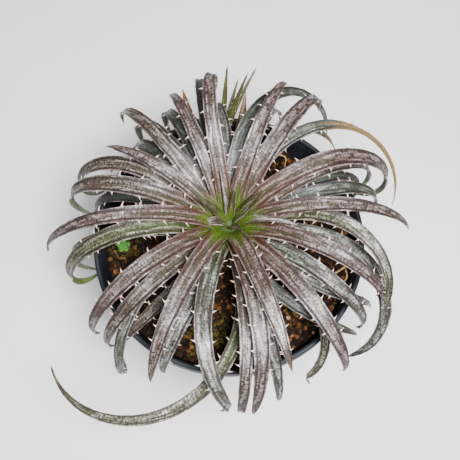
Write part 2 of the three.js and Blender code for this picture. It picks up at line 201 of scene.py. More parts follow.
def cones(rings: Array, tips: Array, out: Array, coat: int) -> Surface:
    """Closes many small shapes at once, each a few rings drawn out to a point.

    Args:
        rings: Vertices as (shapes, rings, around, 3), turning right-handed about the way out.
        tips: The points as (shapes, 3).
        out: How far out each vertex of a shape lies, from 0 to 1, as (rings * around + 1,).
        coat: The finish's place in the piece's list.

    Returns:
        One surface that holds them all, each closed below by a fan.
    """
    count, levels, around, _ = rings.shape
    index, on, quads = bands(levels, around)
    spare = np.arange(1, around - 1)
    tris = np.concatenate([stacked(index[-1], on[-1], levels * around), stacked(0, spare + 1, spare)])
    each = levels * around + 1
    points = np.concatenate([rings.reshape(count, -1, 3), tips[:, None]], axis=1).reshape(-1, 3)
    faces = repeated(quads, each, count), repeated(tris, each, count)
    return Surface(points, *faces, points[:, :2] / 10, {"out": np.tile(out, count)}, coat)


def fillet(outline: Array, cuts: Array | float, steps: int = 5) -> Array:
    """Rounds an outline's corners: each becomes the quadratic curve between two points on its arms.

    Args:
        outline: Corners as (n, 2).
        cuts: How far from each corner its curve starts, for each corner or for all.
        steps: Points on each curve.

    Returns:
        The rounded outline; its two ends stay as they are.
    """
    corner = outline[1:-1]
    arms = outline[:-2] - corner, outline[2:] - corner
    most = 0.48  # of the shorter arm
    reach = most * np.minimum(*(np.linalg.norm(arm, axis=1) for arm in arms))
    reach = np.minimum(np.broadcast_to(cuts, len(outline))[1:-1], reach)[:, None]
    start, end = (corner + unit(arm) * reach for arm in arms)
    t = np.linspace(0, 1, steps)[None, :, None]
    curve = (1 - t) ** 2 * start[:, None] + 2 * t * (1 - t) * corner[:, None] + t**2 * end[:, None]
    return np.concatenate([outline[:1], curve.reshape(-1, 2), outline[-1:]])


def lathe(profile: Array, sides: int, coat: int = 0) -> Surface:
    """Turns a profile of (radius, height) points about the upright axis; its ends lie on the axis."""
    turn = turns(sides)
    radius, height = profile[1:-1, :1], profile[1:-1, 1:]
    rings = stacked(radius * np.cos(turn), radius * np.sin(turn), height)
    uv = stacked(turn * radius.max(), run_of(profile[1:-1])[:, None]) / 10
    return tube(rings, uv, ends=np.array([[0, 0, profile[0, 1]], [0, 0, profile[-1, 1]]]), coat=coat)


def smooth_path(through: Array, steps: int) -> Array:
    """Runs a smooth curve through points, each stretch a cubic set by the points beside it."""
    padded = np.concatenate([2 * through[:1] - through[1:2], through, 2 * through[-1:] - through[-2:-1]])
    t = np.linspace(0, 1, steps, endpoint=False)[None, :, None]
    a, b, c, d = (padded[i : len(padded) - 3 + i, None] for i in range(4))
    curve = b + 0.5 * t * (c - a + t * (2 * a - 5 * b + 4 * c - d + t * (3 * (b - c) + d - a)))
    return np.concatenate([curve.reshape(-1, 3), through[-1:]])


def rod(path: Array, radii: Array, sides: int = 12) -> Surface:
    """Carries a circle along a path, square to it, with its own radius at each point."""
    along = unit(np.gradient(path, axis=0))
    side = unit(np.cross([0.0, 0.0, 1.0], along))
    turn = turns(sides)[None, :, None]
    ring = side[:, None] * np.cos(turn) + np.cross(along, side)[:, None] * np.sin(turn)
    uv = stacked(run_of(path)[:, None], turns(sides) * radii.mean()) / 10
    return tube(path[:, None] + ring * radii[:, None, None], uv)


def pebble() -> tuple[Array, Array]:
    """An octahedron whose edges are halved and pushed out to the unit ball: 18 points, 32 faces."""
    points = np.concatenate([np.eye(3), -np.eye(3)])[[0, 3, 1, 4, 2, 5]]
    upper = np.array([[0, 2, 4], [2, 1, 4], [1, 3, 4], [3, 0, 4]])
    faces = np.concatenate([upper, upper[:, [1, 0, 2]] + [0, 0, 1]])
    edges = np.sort(faces[:, [[0, 1], [1, 2], [2, 0]]].reshape(-1, 2), axis=1)
    unique, which = np.unique(edges, axis=0, return_inverse=True)
    a, b, c = faces.T
    ab, bc, ca = (which.reshape(-1, 3) + len(points)).T
    split = np.stack([[a, ab, ca], [ab, b, bc], [ca, bc, c], [ab, bc, ca]])
    halves = unit(points[unique].mean(axis=1))
    return np.concatenate([points, halves]), split.transpose(0, 2, 1).reshape(-1, 3)


# ------------------------------------------------------------------ shader wiring


class Net:
    """A node tree being wired: each call adds one node, linked or set by what it is given."""

    def __init__(self, tree: bpy.types.NodeTree) -> None:
        """Keeps the tree that the nodes go into."""
        self.tree = tree

    def node(self, kind: str, inputs: dict | None = None, **settings: object) -> bpy.types.Node:
        """Adds a node.

        Args:
            kind: Blender's name for it.
            inputs: Sockets by name or number, each with a value, a web colour or another socket.
            settings: The node's own properties.

        Returns:
            The node.
        """
        made = self.tree.nodes.new(kind)
        for name, value in settings.items():
            setattr(made, name, value)
        for name, value in (inputs or {}).items():
            if isinstance(value, Socket):
                self.tree.links.new(value, made.inputs[name])
            else:
                made.inputs[name].default_value = linear(value) if isinstance(value, str) else value
        return made

    def mark(self, name: str) -> Socket:
        """Reads one of the surface's marks."""
        return self.node("ShaderNodeAttribute", attribute_name=name).outputs["Fac"]

    def skin(self) -> Socket:
        """Reads the piece's skin coordinates, in centimetres."""
        return self.node("ShaderNodeUVMap", uv_map=SKIN).outputs["UV"]

    def place(self) -> Socket:
        """Reads the object's own coordinates, in metres."""
        return self.node("ShaderNodeTexCoord").outputs["Object"]

    def noise(self, where: Socket, *pace: float, detail: float = 2.0) -> Socket:
        """Adds a noise that repeats at one pace all ways, or at its own along each coordinate."""
        paces = pace * 3 if len(pace) == 1 else (*pace, 1.0)[:3]
        scaled = self.node("ShaderNodeMapping", {"Vector": where, "Scale": paces}).outputs["Vector"]
        inputs = {"Vector": scaled, "Scale": 1.0, "Detail": detail, "Roughness": 0.6}
        return self.node("ShaderNodeTexNoise", inputs).outputs["Fac"]

    def step(self, value: Socket, low: float, high: float, start: float = 0.0, end: float = 1.0) -> Socket:
        """Carries a value smoothly from start to end as it goes from low to high."""
        inputs = {0: value, 1: low, 2: high, 3: start, 4: end}
        return self.node("ShaderNodeMapRange", inputs, interpolation_type="SMOOTHSTEP").outputs[0]

    def math(self, operation: str, first: Socket | float, second: Socket | float) -> Socket:
        """Works two values into one."""
        return self.node("ShaderNodeMath", {0: first, 1: second}, operation=operation).outputs[0]

    def product(self, total: Socket, *values: Socket | float) -> Socket:
        """Multiplies values together."""
        for value in values:
            total = self.math("MULTIPLY", total, value)
        return total

    def blend(
        self, share: Socket | float, low: Socket | str, high: Socket | str, way: str = "MIX"
    ) -> Socket:
        """Mixes two colours."""
        inputs = {0: share, 6: low, 7: high}
        return self.node("ShaderNodeMix", inputs, data_type="RGBA", blend_type=way).outputs[2]

    def shades(self, value: Socket, *stops: tuple[float, str]) -> Socket:
        """Turns a value into a colour between fixed stops."""
        made = self.node("ShaderNodeValToRGB", {0: value})
        elements = made.color_ramp.elements
        while len(elements) < len(stops):
            elements.new(0.5)
        for element, (at, code) in zip(elements, stops):
            element.position = at
            element.color = linear(code)
        return made.outputs["Color"]


@dataclass(frozen=True)
class Gloss:
    """What a finish sets on the shader itself, the same all over the surface."""

    roughness: float = 0.5  # where the pattern gives none of its own
    specular: float = 0.5  # the strength of the reflection
    bump: float = 0.5  # the strength of the relief
    bump_height: float = 0.15  # the relief's height, in millimetres


class Finish:
    """A named look: fixed gloss over a wired pattern.  Its material is made once."""

    name: str
    gloss = Gloss()

    def wire(self, net: Net) -> tuple[Socket, object, Socket]:
        """Wires the pattern, and gives its colour, its roughness or None, and its height."""
        raise NotImplementedError

    def material(self) -> bpy.types.Material:
        """Makes the material, or gives back the one made before under this name."""
        made = bpy.data.materials.get(self.name)
        if made is not None:
            return made
        made = bpy.data.materials.new(self.name)
        made.use_nodes = True
        net = Net(made.node_tree)
        shader = made.node_tree.nodes["Principled BSDF"].inputs
        colour, roughness, height = self.wire(net)
        shader["Roughness"].default_value = self.gloss.roughness
        shader["Specular IOR Level"].default_value = self.gloss.specular
        relief = {"Height": height, "Strength": self.gloss.bump, "Distance": self.gloss.bump_height * MM}
        normal = net.node("ShaderNodeBump", relief).outputs["Normal"]
        for name, value in (("Base Color", colour), ("Roughness", roughness), ("Normal", normal)):
            if value is not None:
                net.tree.links.new(value, shader[name])
        return made


# ------------------------------------------------------------------ leaf finishes

LEAF_COLOURS = ("middle", "ground", "scale", "stripe", "margin", "under", "under_line", "heart", "dead")
LEAF_AMOUNTS = ("cover", "dashes", "midline")


def leaf_skin_group() -> bpy.types.NodeTree:
    """The shared pattern of a leaf: silvery scale in bands along it, broken by fine dark dashes.

    With e from 0 at the keel to 1 at the margin, plus a slow drift, the middle band fades out
    from 0.2 to 0.34, a pale line borders it from 0.24 to 0.46, a dark gutter lies from 0.52 to
    0.95, and the raised rim starts at 0.88.  Streaks repeat ten times faster across the leaf
    than along it; the flecks that break them repeat over twice as fast along it as across.
    Where a face turns towards the key light, a painted sheen whitens the scale, thickens it and
    thins the dashes.

    Returns:
        A node group that gives a colour, a roughness and a height.
    """
    made = bpy.data.node_groups.get("leaf skin")
    if made is not None:
        return made
    made = bpy.data.node_groups.new("leaf skin", "ShaderNodeTree")
    for way, kind, names in (
        ("INPUT", "NodeSocketColor", LEAF_COLOURS),
        ("INPUT", "NodeSocketFloat", LEAF_AMOUNTS),
        ("OUTPUT", "NodeSocketColor", ("colour",)),
        ("OUTPUT", "NodeSocketFloat", ("roughness", "height")),
    ):
        for name in names:
            made.interface.new_socket(name, in_out=way, socket_type=kind)

    net = Net(made)
    given = net.node("NodeGroupInput").outputs
    skin = net.skin()
    margin, under, share = net.mark("edge"), net.mark("under"), net.mark("share")

    def noise(along: float, across: float, detail: float = 2.0) -> Socket:
        """A noise over the skin, by how often it repeats in a centimetre."""
        return net.noise(skin, along, across, detail=detail)

    edge = net.math("ADD", margin, net.step(noise(0.45, 2.2), 0.3, 0.7, -0.14, 0.14))
    streaks = net.step(noise(0.8, 8.0, 3.0), 0.42, 0.56)
    patches = net.step(noise(1.3, 3.0, 3.0), 0.4, 0.6)
    flecks = net.step(noise(10.5, 4.6), 0.5, 0.58)
    hatch = net.step(noise(24.0, 10.0, 1.0), 0.5, 0.6)
    grain = noise(34.0, 34.0)

    # where each part of the pattern lies
    fading = net.step(share, 0.32, 0.7, 1.0, 0.2)
    middle = net.product(net.step(edge, 0.34, 0.2), given["midline"], fading)
    gutter = net.product(net.step(edge, 0.52, 0.64), net.step(edge, 0.95, 0.86))
    # painted sheen: white laid where a face turns towards the key light, broken by a slow noise
    painted_sheen = net.product(net.mark("crest"), net.step(noise(0.6, 2.2), 0.32, 0.56, 0.3, 1.0))
    broken = net.math("MAXIMUM", flecks, net.product(hatch, 0.5))
    broken = net.product(broken, net.step(share, 0.05, 0.45, 0.2, 1.0), given["dashes"])
    # the dashes fade under the painted sheen
    broken = net.product(broken, net.step(painted_sheen, 0.0, 1.0, 1.0, 0.45))
    cover = net.product(net.step(streaks, 0.0, 1.0, 0.12, 1.08), net.step(patches, 0.0, 1.0, 0.34, 1.08))
    grown = net.product(net.step(share, 0.06, 0.42, 0.32, 1.0), net.step(share, 0.7, 1.0, 1.0, 0.6))
    cover = net.product(cover, given["cover"], grown)
    # the painted sheen also thickens the scale
    cover = net.math("MAXIMUM", cover, net.product(painted_sheen, 0.8, net.step(streaks, 0.0, 1.0, 0.7, 1.0)))
    cover = net.product(cover, net.math("SUBTRACT", 1.0, net.product(middle, 0.85)))

    # the upper side: ground, scale whitened by the painted sheen, pale line, gutter, dashes and rim
    # painted highlight: the scale whitens towards #f6f4f4 under the painted sheen
    scale = net.blend(net.product(painted_sheen, 0.8), given["scale"], "#f6f4f4")
    ground = net.blend(net.step(share, 0.3, 0.75, 0.0, 0.6), given["ground"], "#3a1f1c")
    keel = net.blend(net.step(share, 0.02, 0.24, 0.45, 1.0), given["heart"], given["middle"])
    colour = net.blend(cover, net.blend(middle, ground, keel), scale)
    line = net.product(net.step(edge, 0.24, 0.31), net.step(edge, 0.46, 0.36), given["midline"], fading)
    colour = net.blend(net.product(line, net.step(streaks, 0.0, 1.0, 0.2, 0.7)), colour, scale)
    trough = net.blend(net.step(share, 0.15, 0.5, 0.1, 0.85), given["ground"], given["stripe"])
    colour = net.blend(net.product(gutter, net.step(share, 0.1, 0.5, 0.75, 0.88)), colour, trough)
    colour = net.blend(net.product(broken, 0.92), colour, given["stripe"])
    rim = net.product(net.step(margin, 0.88, 0.97), net.step(patches, 0.0, 1.0, 0.05, 0.5))
    colour = net.blend(rim, colour, given["margin"])

    # the underside, the young base, the dead end, and fine mottling over all of it
    lines = net.step(noise(0.8, 14.0), 0.42, 0.6)
    below = net.blend(net.product(lines, 0.7), given["under"], given["under_line"])
    colour = net.blend(net.product(under, net.step(margin, 1.0, 0.93)), colour, below)
    young = net.product(net.mark("young"), net.step(grain, 0.2, 0.6, 0.75, 1.0))
    colour = net.blend(young, colour, given["heart"])
    dead = net.blend(net.step(grain, 0.35, 0.65), given["dead"], given["stripe"])
    colour = net.blend(net.mark("dead"), colour, net.blend(0.3, given["dead"], dead))
    speckle = net.shades(noise(11.0, 11.0), (0.38, "#707070"), (0.58, "#ffffff"))
    colour = net.blend(net.step(under, 0.0, 1.0, 0.7, 0.25), colour, speckle, "MULTIPLY")
    colour = net.blend(0.35, colour, net.shades(grain, (0.3, "#a0a0a0"), (0.7, "#ffffff")), "MULTIPLY")

    roughness = net.math("ADD", net.product(broken, 0.25), net.step(cover, 0.0, 1.0, 0.5, 0.2))
    height = net.math("ADD", net.product(streaks, 0.3), net.product(grain, 0.04))
    height = net.math("SUBTRACT", height, net.product(broken, 0.8))
    height = net.product(height, net.step(under, 0.0, 1.0, 1.0, 0.3))
    net.node("NodeGroupOutput", {"colour": colour, "roughness": roughness, "height": height})
    return made


@dataclass(frozen=True)
class LeafFinish(Finish):
    """One of the rosette's leaf colourings, as web colours and amounts, over the leaf skin."""

    name: str
    middle: str
    ground: str
    scale: str
    stripe: str
    margin: str = "#a08a86"
    under: str = "#747e6a"
    under_line: str = "#444e39"
    heart: str = "#526c0f"
    dead: str = "#8f7348"
    cover: float = 1.0
    dashes: float = 1.0
    midline: float = 0.5
    gloss = Gloss(bump=0.8, bump_height=0.22)

    def wire(self, net: Net) -> tuple:
        """Feeds the shared skin with this leaf's colours and amounts."""
        inputs = {name: getattr(self, name) for name in LEAF_COLOURS + LEAF_AMOUNTS}
        return tuple(net.node("ShaderNodeGroup", inputs, node_tree=leaf_skin_group()).outputs)


class Tint(Enum):
    """The leaf colourings that the rosette shows, from the sunlit top down to the lower leaves, whose darker
    colours are partly their own and partly painted shade.
    """

    PURPLE = LeafFinish("leaf flushed purple", "#38330c", "#4c2a17", "#ab9895", "#190b08", midline=0.8)
    BROWN = LeafFinish("leaf flushed brown", "#36320c", "#452b15", "#a0938a", "#150c07", midline=0.85)
    SILVER = LeafFinish("leaf silver", "#303610", "#3a3016", "#abb4a9", "#13100a", midline=0.75)
    OLIVE = LeafFinish("leaf olive", "#3c4b0c", "#3e3b16", "#a0a389", "#181407",
                       under="#6d8340", under_line="#3c5416", midline=1.0)
    # the lower leaves' own deep green and grey, darkened further as painted shade under the upper leaves
    GREEN = LeafFinish("leaf deep green", "#66755c", "#0b150c", "#55645a", "#060a06",
                       cover=0.35, dashes=0.7, midline=0.8)
    GREY = LeafFinish("leaf grey", "#373f2f", "#313628", "#7b8276", "#171a14", cover=0.85, dashes=0.6)
    YOUNG = LeafFinish("leaf young", "#4f5d1f", "#5b4a36", "#b4aeac", "#2e2216",
                       cover=1.1, dashes=0.3, midline=0.3)
    DRIED = LeafFinish("leaf dried", "#b06a22", "#bd7c35", "#d8a763", "#4f2a10",
                       "#cf9a58", "#a0662a", "#5f3716", cover=0.6)
    INNER = LeafFinish("leaf of the heart", "#3d5208", "#46400f", "#8d8f72", "#1b2106",
                       cover=0.5, dashes=0.4, midline=0.6)
    OFFSET = LeafFinish("leaf of the offset", "#48560f", "#4c4a18", "#7f8352", "#2d360f",
                        "#8d8c5c", cover=0.45, dashes=0.3)


@dataclass(frozen=True)
class ThornFinish(Finish):
    """The spines' horn: pale at the root, warmer and clearer towards the point."""

    name: str = "spine horn"
    root: str = "#d8c6bf"
    point: str = "#c39c80"
    gloss = Gloss(roughness=0.38, bump=0.2)

    def wire(self, net: Net) -> tuple:
        """Colours a spine by how far out along it a point lies."""
        grain = net.noise(net.place(), 2500.0)
        out = net.math("ADD", net.mark("out"), net.product(grain, 0.2))
        return net.blend(net.step(out, 0.35, 1.1), self.root, self.point), None, grain


# ------------------------------------------------------------------ leaves


@dataclass(frozen=True)
class Growth:
    """How one leaf grows."""

    name: str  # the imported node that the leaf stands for
    azimuth: float  # the way it leaves the stem, in degrees
    rise: float  # how steeply it rises there
    droop: float  # how far it bends down by its tip
    hook: float  # how late it bends down, an exponent
    swing: float  # how far it swings sideways by its tip
    swing_hook: float  # how late it swings, an exponent
    length: float  # from root to tip
    width: float  # at its widest
    level: float  # the root's height above the growing point
    free: float  # the distance from the plant's axis where it comes free of the crown
    tint: Tint  # its colouring
    dead_from: float = 2.0  # the share of its length after which it is dried out


class Keel:
    """The curve of a leaf's middle line, walked in short even steps from its root.

    With s from 0 at the root to 1 at the tip, the heading is azimuth + swing * s ** swing_hook
    and the slope is rise - droop * s ** hook.
    """

    steps = 96

    def __init__(self, growth: Growth, root: Array, out: float) -> None:
        """Walks the curve.

        Args:
            growth: The leaf.
            root: The point of the axis that it grows from.
            out: How far from that point the curve starts, level, in the leaf's direction.
        """
        self.growth = growth
        along = self.along((np.arange(self.steps) + 0.5) / self.steps)
        start = np.radians(growth.azimuth)
        first = root + out * np.array([np.cos(start), np.sin(start), 0.0])
        walk = np.cumsum(along * growth.length / self.steps, axis=0)
        self.points = np.concatenate([first[None], first + walk])
        self.marks = np.linspace(0, growth.length, self.steps + 1)

    def heading(self, s: Array) -> Array:
        """The compass direction at a share of the length, in radians."""
        return np.radians(self.growth.azimuth + self.growth.swing * s**self.growth.swing_hook)

    def along(self, s: Array) -> Array:
        """The unit vector along the curve at a share of the length."""
        heading = self.heading(s)
        slope = np.radians(self.growth.rise - self.growth.droop * s**self.growth.hook)
        flat = np.cos(slope)
        return stacked(flat * np.cos(heading), flat * np.sin(heading), np.sin(slope))

    def frame(self, distance: Array) -> tuple[Array, Array, Array, Array]:
        """The point, and the unit vectors sideways, along and up, at distances along the curve."""
        point = stacked(*(np.interp(distance, self.marks, axis) for axis in self.points.T))
        s = np.clip(distance / self.growth.length, 0, 1)
        heading, along = self.heading(s), self.along(s)
        side = stacked(-np.sin(heading), np.cos(heading), 0.0)
        return point, side, along, np.cross(along, side)

    def distance_at(self, radius: float) -> float:
        """How far along the curve it first lies this far from the plant's axis."""
        away = np.hypot(self.points[:, 0], self.points[:, 1]) >= radius
        return float(self.marks[np.argmax(away)])


@dataclass(frozen=True)
class Thorns:
    """Hooked spines along both margins of a blade."""

    pitch: float = 11.4  # from one spine to the next
    spread: float = 0.28  # the most by which a spine stands off its even place, as a share of the pitch
    length: float = 2.6  # how far a spine stands out
    root: float = 0.55  # half its reach along the margin at the root
    needle: float = 0.14  # half its reach along the margin further out
    thick: float = 0.3  # half its thickness at the root
    hook: float = 1.3  # how far its point is bent back to the leaf's base
    lift: float = 0.1  # how far its point stands up, as a share of the leaf's width
    clear_of_tip: float = 7.0  # the bare stretch before the leaf's tip
    swell: float = 0.14  # how far the margin swells out under a spine
    swell_reach: float = 1.1  # how far along the margin that swelling reaches
    # the rings of a spine, as shares of its length
    levels: tuple[float, ...] = (-0.12, 0.1, 0.36, 0.68)
    around: int = 6  # corners in a ring

    def places(self, growth: Growth, start: float, margin: int) -> Array:
        """Where the spines of one margin stand, at uneven distances from the root."""
        count = max(int((growth.length - self.clear_of_tip - start) / self.pitch), 0)
        draw = np.random.default_rng(int(growth.azimuth * 7 + growth.length * 3 + margin + 1))
        shift = draw.uniform(0.1, 0.5) + draw.uniform(-self.spread, self.spread, count)
        return start + (np.arange(count) + 0.5 + shift) * self.pitch

    def swelling(self, distance: Array, places: Array) -> Array:
        """How far the margin swells out at distances along the leaf, a bell round each spine."""
        apart = (distance[:, None] - places[None]) / self.swell_reach
        return self.swell * np.exp(-(apart**2)).sum(axis=1)

    def build(self, keel: Keel, places: Array, margin: int, half: Array, lift: Array) -> Surface:
        """Makes the spines of one margin.

        With t from 0 at the margin to 1 at the point, a spine's middle goes out by length * t,
        back towards the root by hook * t ** 1.8, and up by lift * width * t.  Its section is an
        ellipse whose reach along the leaf is root * (1 - t) ** 2.4 + needle * (1 - t) ** 0.6,
        and through it thick * (1 - t) ** 0.8.  A spine has its full size where the blade is
        widest and 0.6 of that where it is narrowest, give or take 0.15 by chance.

        Args:
            keel: The leaf's curve.
            places: Distances along it.
            margin: 1 for the left margin, -1 for the right one.
            half: Half the blade's width at each place.
            lift: How far the margin stands above the keel at each place.

        Returns:
            The spines, which wear the leaf's finish 1.
        """
        growth = keel.growth
        point, side, along, up = keel.frame(places)
        draw = np.random.default_rng(int(growth.azimuth * 11 + growth.length + margin))
        size = (0.6 + 0.4 * 2 * half / growth.width) * draw.uniform(0.85, 1.15, len(places))
        foot = point + side * (margin * (half + self.swell * 0.6))[:, None] + up * lift[:, None]

        def middle(t: Array) -> Array:
            """The spine's middle line at shares of its length, as (spines, shares, 3)."""
            reach = size[:, None] * t[None]
            out = side[:, None] * margin * (self.length * reach)[..., None]
            back = along[:, None] * (self.hook * size[:, None] * np.abs(t) ** 1.8)[..., None]
            rise = up[:, None] * (self.lift * growth.width * reach)[..., None]
            return foot[:, None] + out - back + rise

        t = np.array(self.levels)
        long = (self.root * (1 - t) ** 2.4 + self.needle * (1 - t) ** 0.6) * size[:, None]
        thick = self.thick * (1 - t) ** 0.8 * size[:, None]
        turn = turns(self.around)
        through = up[:, None, None] * (thick[..., None] * np.cos(turn))[..., None]
        ring = through + along[:, None, None] * (margin * long[..., None] * np.sin(turn))[..., None]
        out = np.append(np.repeat(np.clip(t, 0, 1), self.around), 1.0)
        return cones(middle(t)[:, :, None] + ring, middle(np.ones(1))[:, 0], out, coat=1)


@dataclass(frozen=True)
class Blade:
    """A leaf's body: a shallow channel above, a keel below, and a rounded raised margin."""

    mid: float = 2.3  # the thickness along the keel, where the blade is widest
    edge: float = 0.8  # the thickness at the margin
    tip_share: float = 0.4  # the keel's thickness at the tip, as a share of the most
    channel: float = 0.17  # how far the margins stand up, as a share of the width
    tip_width: float = 1.1  # the width near the point
    taper: float = 3.1  # a high figure keeps the blade wide until near its tip
    taper_power: float = 0.9  # how bluntly it narrows there
    blunt: float = 0.5  # how far short of its point the blade ends
    station: float = 1.1  # from one cross-section to the next
    columns: int = 17  # points across each face
    rim: float = 0.24  # how far the margin is rounded out
    ridge: float = 0.2  # the height of the ridges along the upper face
    shrivel: float = 0.5  # the share of its width that a dead end loses
    thorns: Thorns | None = Thorns()  # the spines, if it has any
    # where the green of the base starts and stops fading, from the root
    young_to: tuple[float, float] = (3.0, 20.0)
    young_middle: float = 8.0  # how much further that green reaches along the keel
    sunward: Place = (0.08, -0.34, 0.94)  # the direction that a face turns to the key light; the sheen painted on it is strongest there
    highlight_spread: float = 17.0  # how fast that painted sheen falls off, in degrees

    def width(self, growth: Growth, distance: Array) -> Array:
        """The blade's width, W * (1 - s ** taper) ** power, drawn out to a point at the tip.

        Past the length where it is dried out it loses a share of that, its shrivel.
        """
        s = np.clip(distance / growth.length, 0, 1)
        point = self.tip_width * np.clip((growth.length - distance) / (3 * self.tip_width), 0.12, 1)
        width = np.maximum(growth.width * (1 - s**self.taper) ** self.taper_power, point)
        return width * (1 - self.shrivel * ramp(s, growth.dead_from - 0.06, growth.dead_from + 0.1))

    def build(self, keel: Keel) -> Surface:
        """Makes the whole leaf.

        Across the blade b goes from 1 at the left margin to -1 at the right one.  The middle of
        its thickness stands up by channel * width * |b| ** 1.7, and the thickness falls off as
        (1 - b * b) ** 0.7 to the edge's.

        Args:
            keel: The leaf's curve.

        Returns:
            The blade with finish 0 and its spines with finish 1.
        """
        growth = keel.growth
        last = growth.length - self.blunt
        distance = np.linspace(0, last, max(int(last / self.station), 12))
        width = self.width(growth, distance)
        half, share = width[:, None] / 2, width[:, None] / growth.width
        edge = np.minimum(self.edge, 2 * half * 0.6) / 2
        mid = np.maximum(self.mid / 2 * (self.tip_share + (1 - self.tip_share) * share), edge)

        top = np.cos(np.linspace(0, np.pi, self.columns))
        across = np.concatenate([top, [-1.0], -top, [1.0]])
        face = np.concatenate([np.ones(self.columns), [0.0], -np.ones(self.columns), [0.0]])
        rim = np.where(face == 0, self.rim, 0.0)

        bulge = np.zeros((len(distance), len(across)))
        spines = []
        for margin in (1, -1) if self.thorns else ():
            places = self.thorns.places(growth, keel.distance_at(growth.free), margin)
            swell = self.thorns.swelling(distance, places)
            bulge += np.where(across * margin > 0, np.abs(across) ** 4, 0.0) * swell[:, None]
            at = self.width(growth, places)
            spines.append(self.thorns.build(keel, places, margin, at / 2, self.channel * at))
        sideways = across * half + np.sign(across) * (rim * share + bulge)
        middle = self.channel * 2 * half * np.abs(across) ** 1.7
        thick = edge + (mid - edge) * (1 - across**2) ** 0.7
        ridges = -self.ridge * share * np.cos(3 * np.pi * across) * (1 - across**2)
        upward = middle + face * thick + ridges * (face > 0)
        point, side, _, up = keel.frame(distance)
        rings = point[:, None] + side[:, None] * sideways[..., None] + up[:, None] * upward[..., None]

        run = distance[:, None]
        # how far each face is turned from the light's direction, in degrees; the painted sheen follows it
        turned = np.degrees(np.arccos(np.clip(up @ np.array(self.sunward), -1, 1)))[:, None]
        girth = np.where(face < 0, -half * (2 + across), across * half)
        wave = 0.04 * np.sin(5 * across)
        marks = {
            "edge": np.abs(across),
            "under": face < 0,
            "share": run / growth.length,
            # painted sheen: strongest where a face turns towards the key light
            "crest": np.exp(-((turned / self.highlight_spread) ** 2)),
            "young": 1 - ramp(run - self.young_middle * (1 - across**2), *self.young_to),
            "dead": ramp(run / growth.length + wave, growth.dead_from - 0.06, growth.dead_from + 0.06),
        }
        apart = growth.azimuth * 1.7 + growth.length  # gives each leaf its own part of the pattern
        skin = stacked(run + apart, girth) / 10
        return join([tube(rings, skin, marks), *[spine for spine in spines if len(spine.points)]])


# ------------------------------------------------------------------ pieces


class Slot(Enum):
    """The record's material slots."""

    POT = "pot_plastic"
    MIX = "potting_mix"
    CROWN = "crown_leaf"
    UPPER = "upper_leaf"
    LOWER = "lower_leaf"
    PUP = "pup_leaf"
    SEEDLING = "seedling_leaf"
    DRY = "dry_leaf"
    STRAW = "straw"


def linked(name: str, data: bpy.types.ID) -> bpy.types.Object:
    """Makes an object of some data and links it into the scene."""
    made = bpy.data.objects.new(name, data)
    bpy.context.scene.collection.objects.link(made)
    return made


def put(name: str, surface: Surface, finishes: list[Finish], smooth: bool = True) -> bpy.types.Object:
    """Puts a surface into the scene as an object, in metres.

    Args:
        name: The object's name.
        surface: The shape.
        finishes: Its looks, in the order of the surface's coats.
        smooth: Whether its faces are shaded as one skin.

    Returns:
        The object, at the origin.
    """
    mesh = bpy.data.meshes.new(name)
    corners = np.concatenate([surface.quads.ravel(), surface.tris.ravel()]).astype(np.int32)
    fours, threes = len(surface.quads), len(surface.tris)
    starts = np.concatenate([np.arange(fours) * 4, fours * 4 + np.arange(threes) * 3])
    mesh.vertices.add(len(surface.points))
    mesh.loops.add(len(corners))
    mesh.polygons.add(fours + threes)
    mesh.vertices.foreach_set("co", (surface.points * MM).astype(np.float32).ravel())
    mesh.loops.foreach_set("vertex_index", corners)
    mesh.polygons.foreach_set("loop_start", starts.astype(np.int32))
    mesh.polygons.foreach_set("material_index", surface.coats().astype(np.int32))
    mesh.polygons.foreach_set("use_smooth", np.full(fours + threes, smooth))
    for finish in finishes:
        mesh.materials.append(finish.material())
    mesh.update(calc_edges=True)
    layer = mesh.uv_layers.new(name=SKIN)
    layer.data.foreach_set("uv", surface.uv[corners].astype(np.float32).ravel())
    for mark, values in surface.marks.items():
        mesh.attributes.new(mark, "FLOAT", "POINT").data.foreach_set("value", values.astype(np.float32))
    mesh.validate()
    return linked(name, mesh)


def stand_for(piece: bpy.types.Object, node: str) -> None:
    """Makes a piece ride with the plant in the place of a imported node, and reports it."""
    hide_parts(node)
    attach(piece, "root")
    log.info("%s: %d faces for %s", piece.name, len(piece.data.polygons), node)


PU, BR, SI, OL, GN, GY = Tint.PURPLE, Tint.BROWN, Tint.SILVER, Tint.OLIVE, Tint.GREEN, Tint.GREY
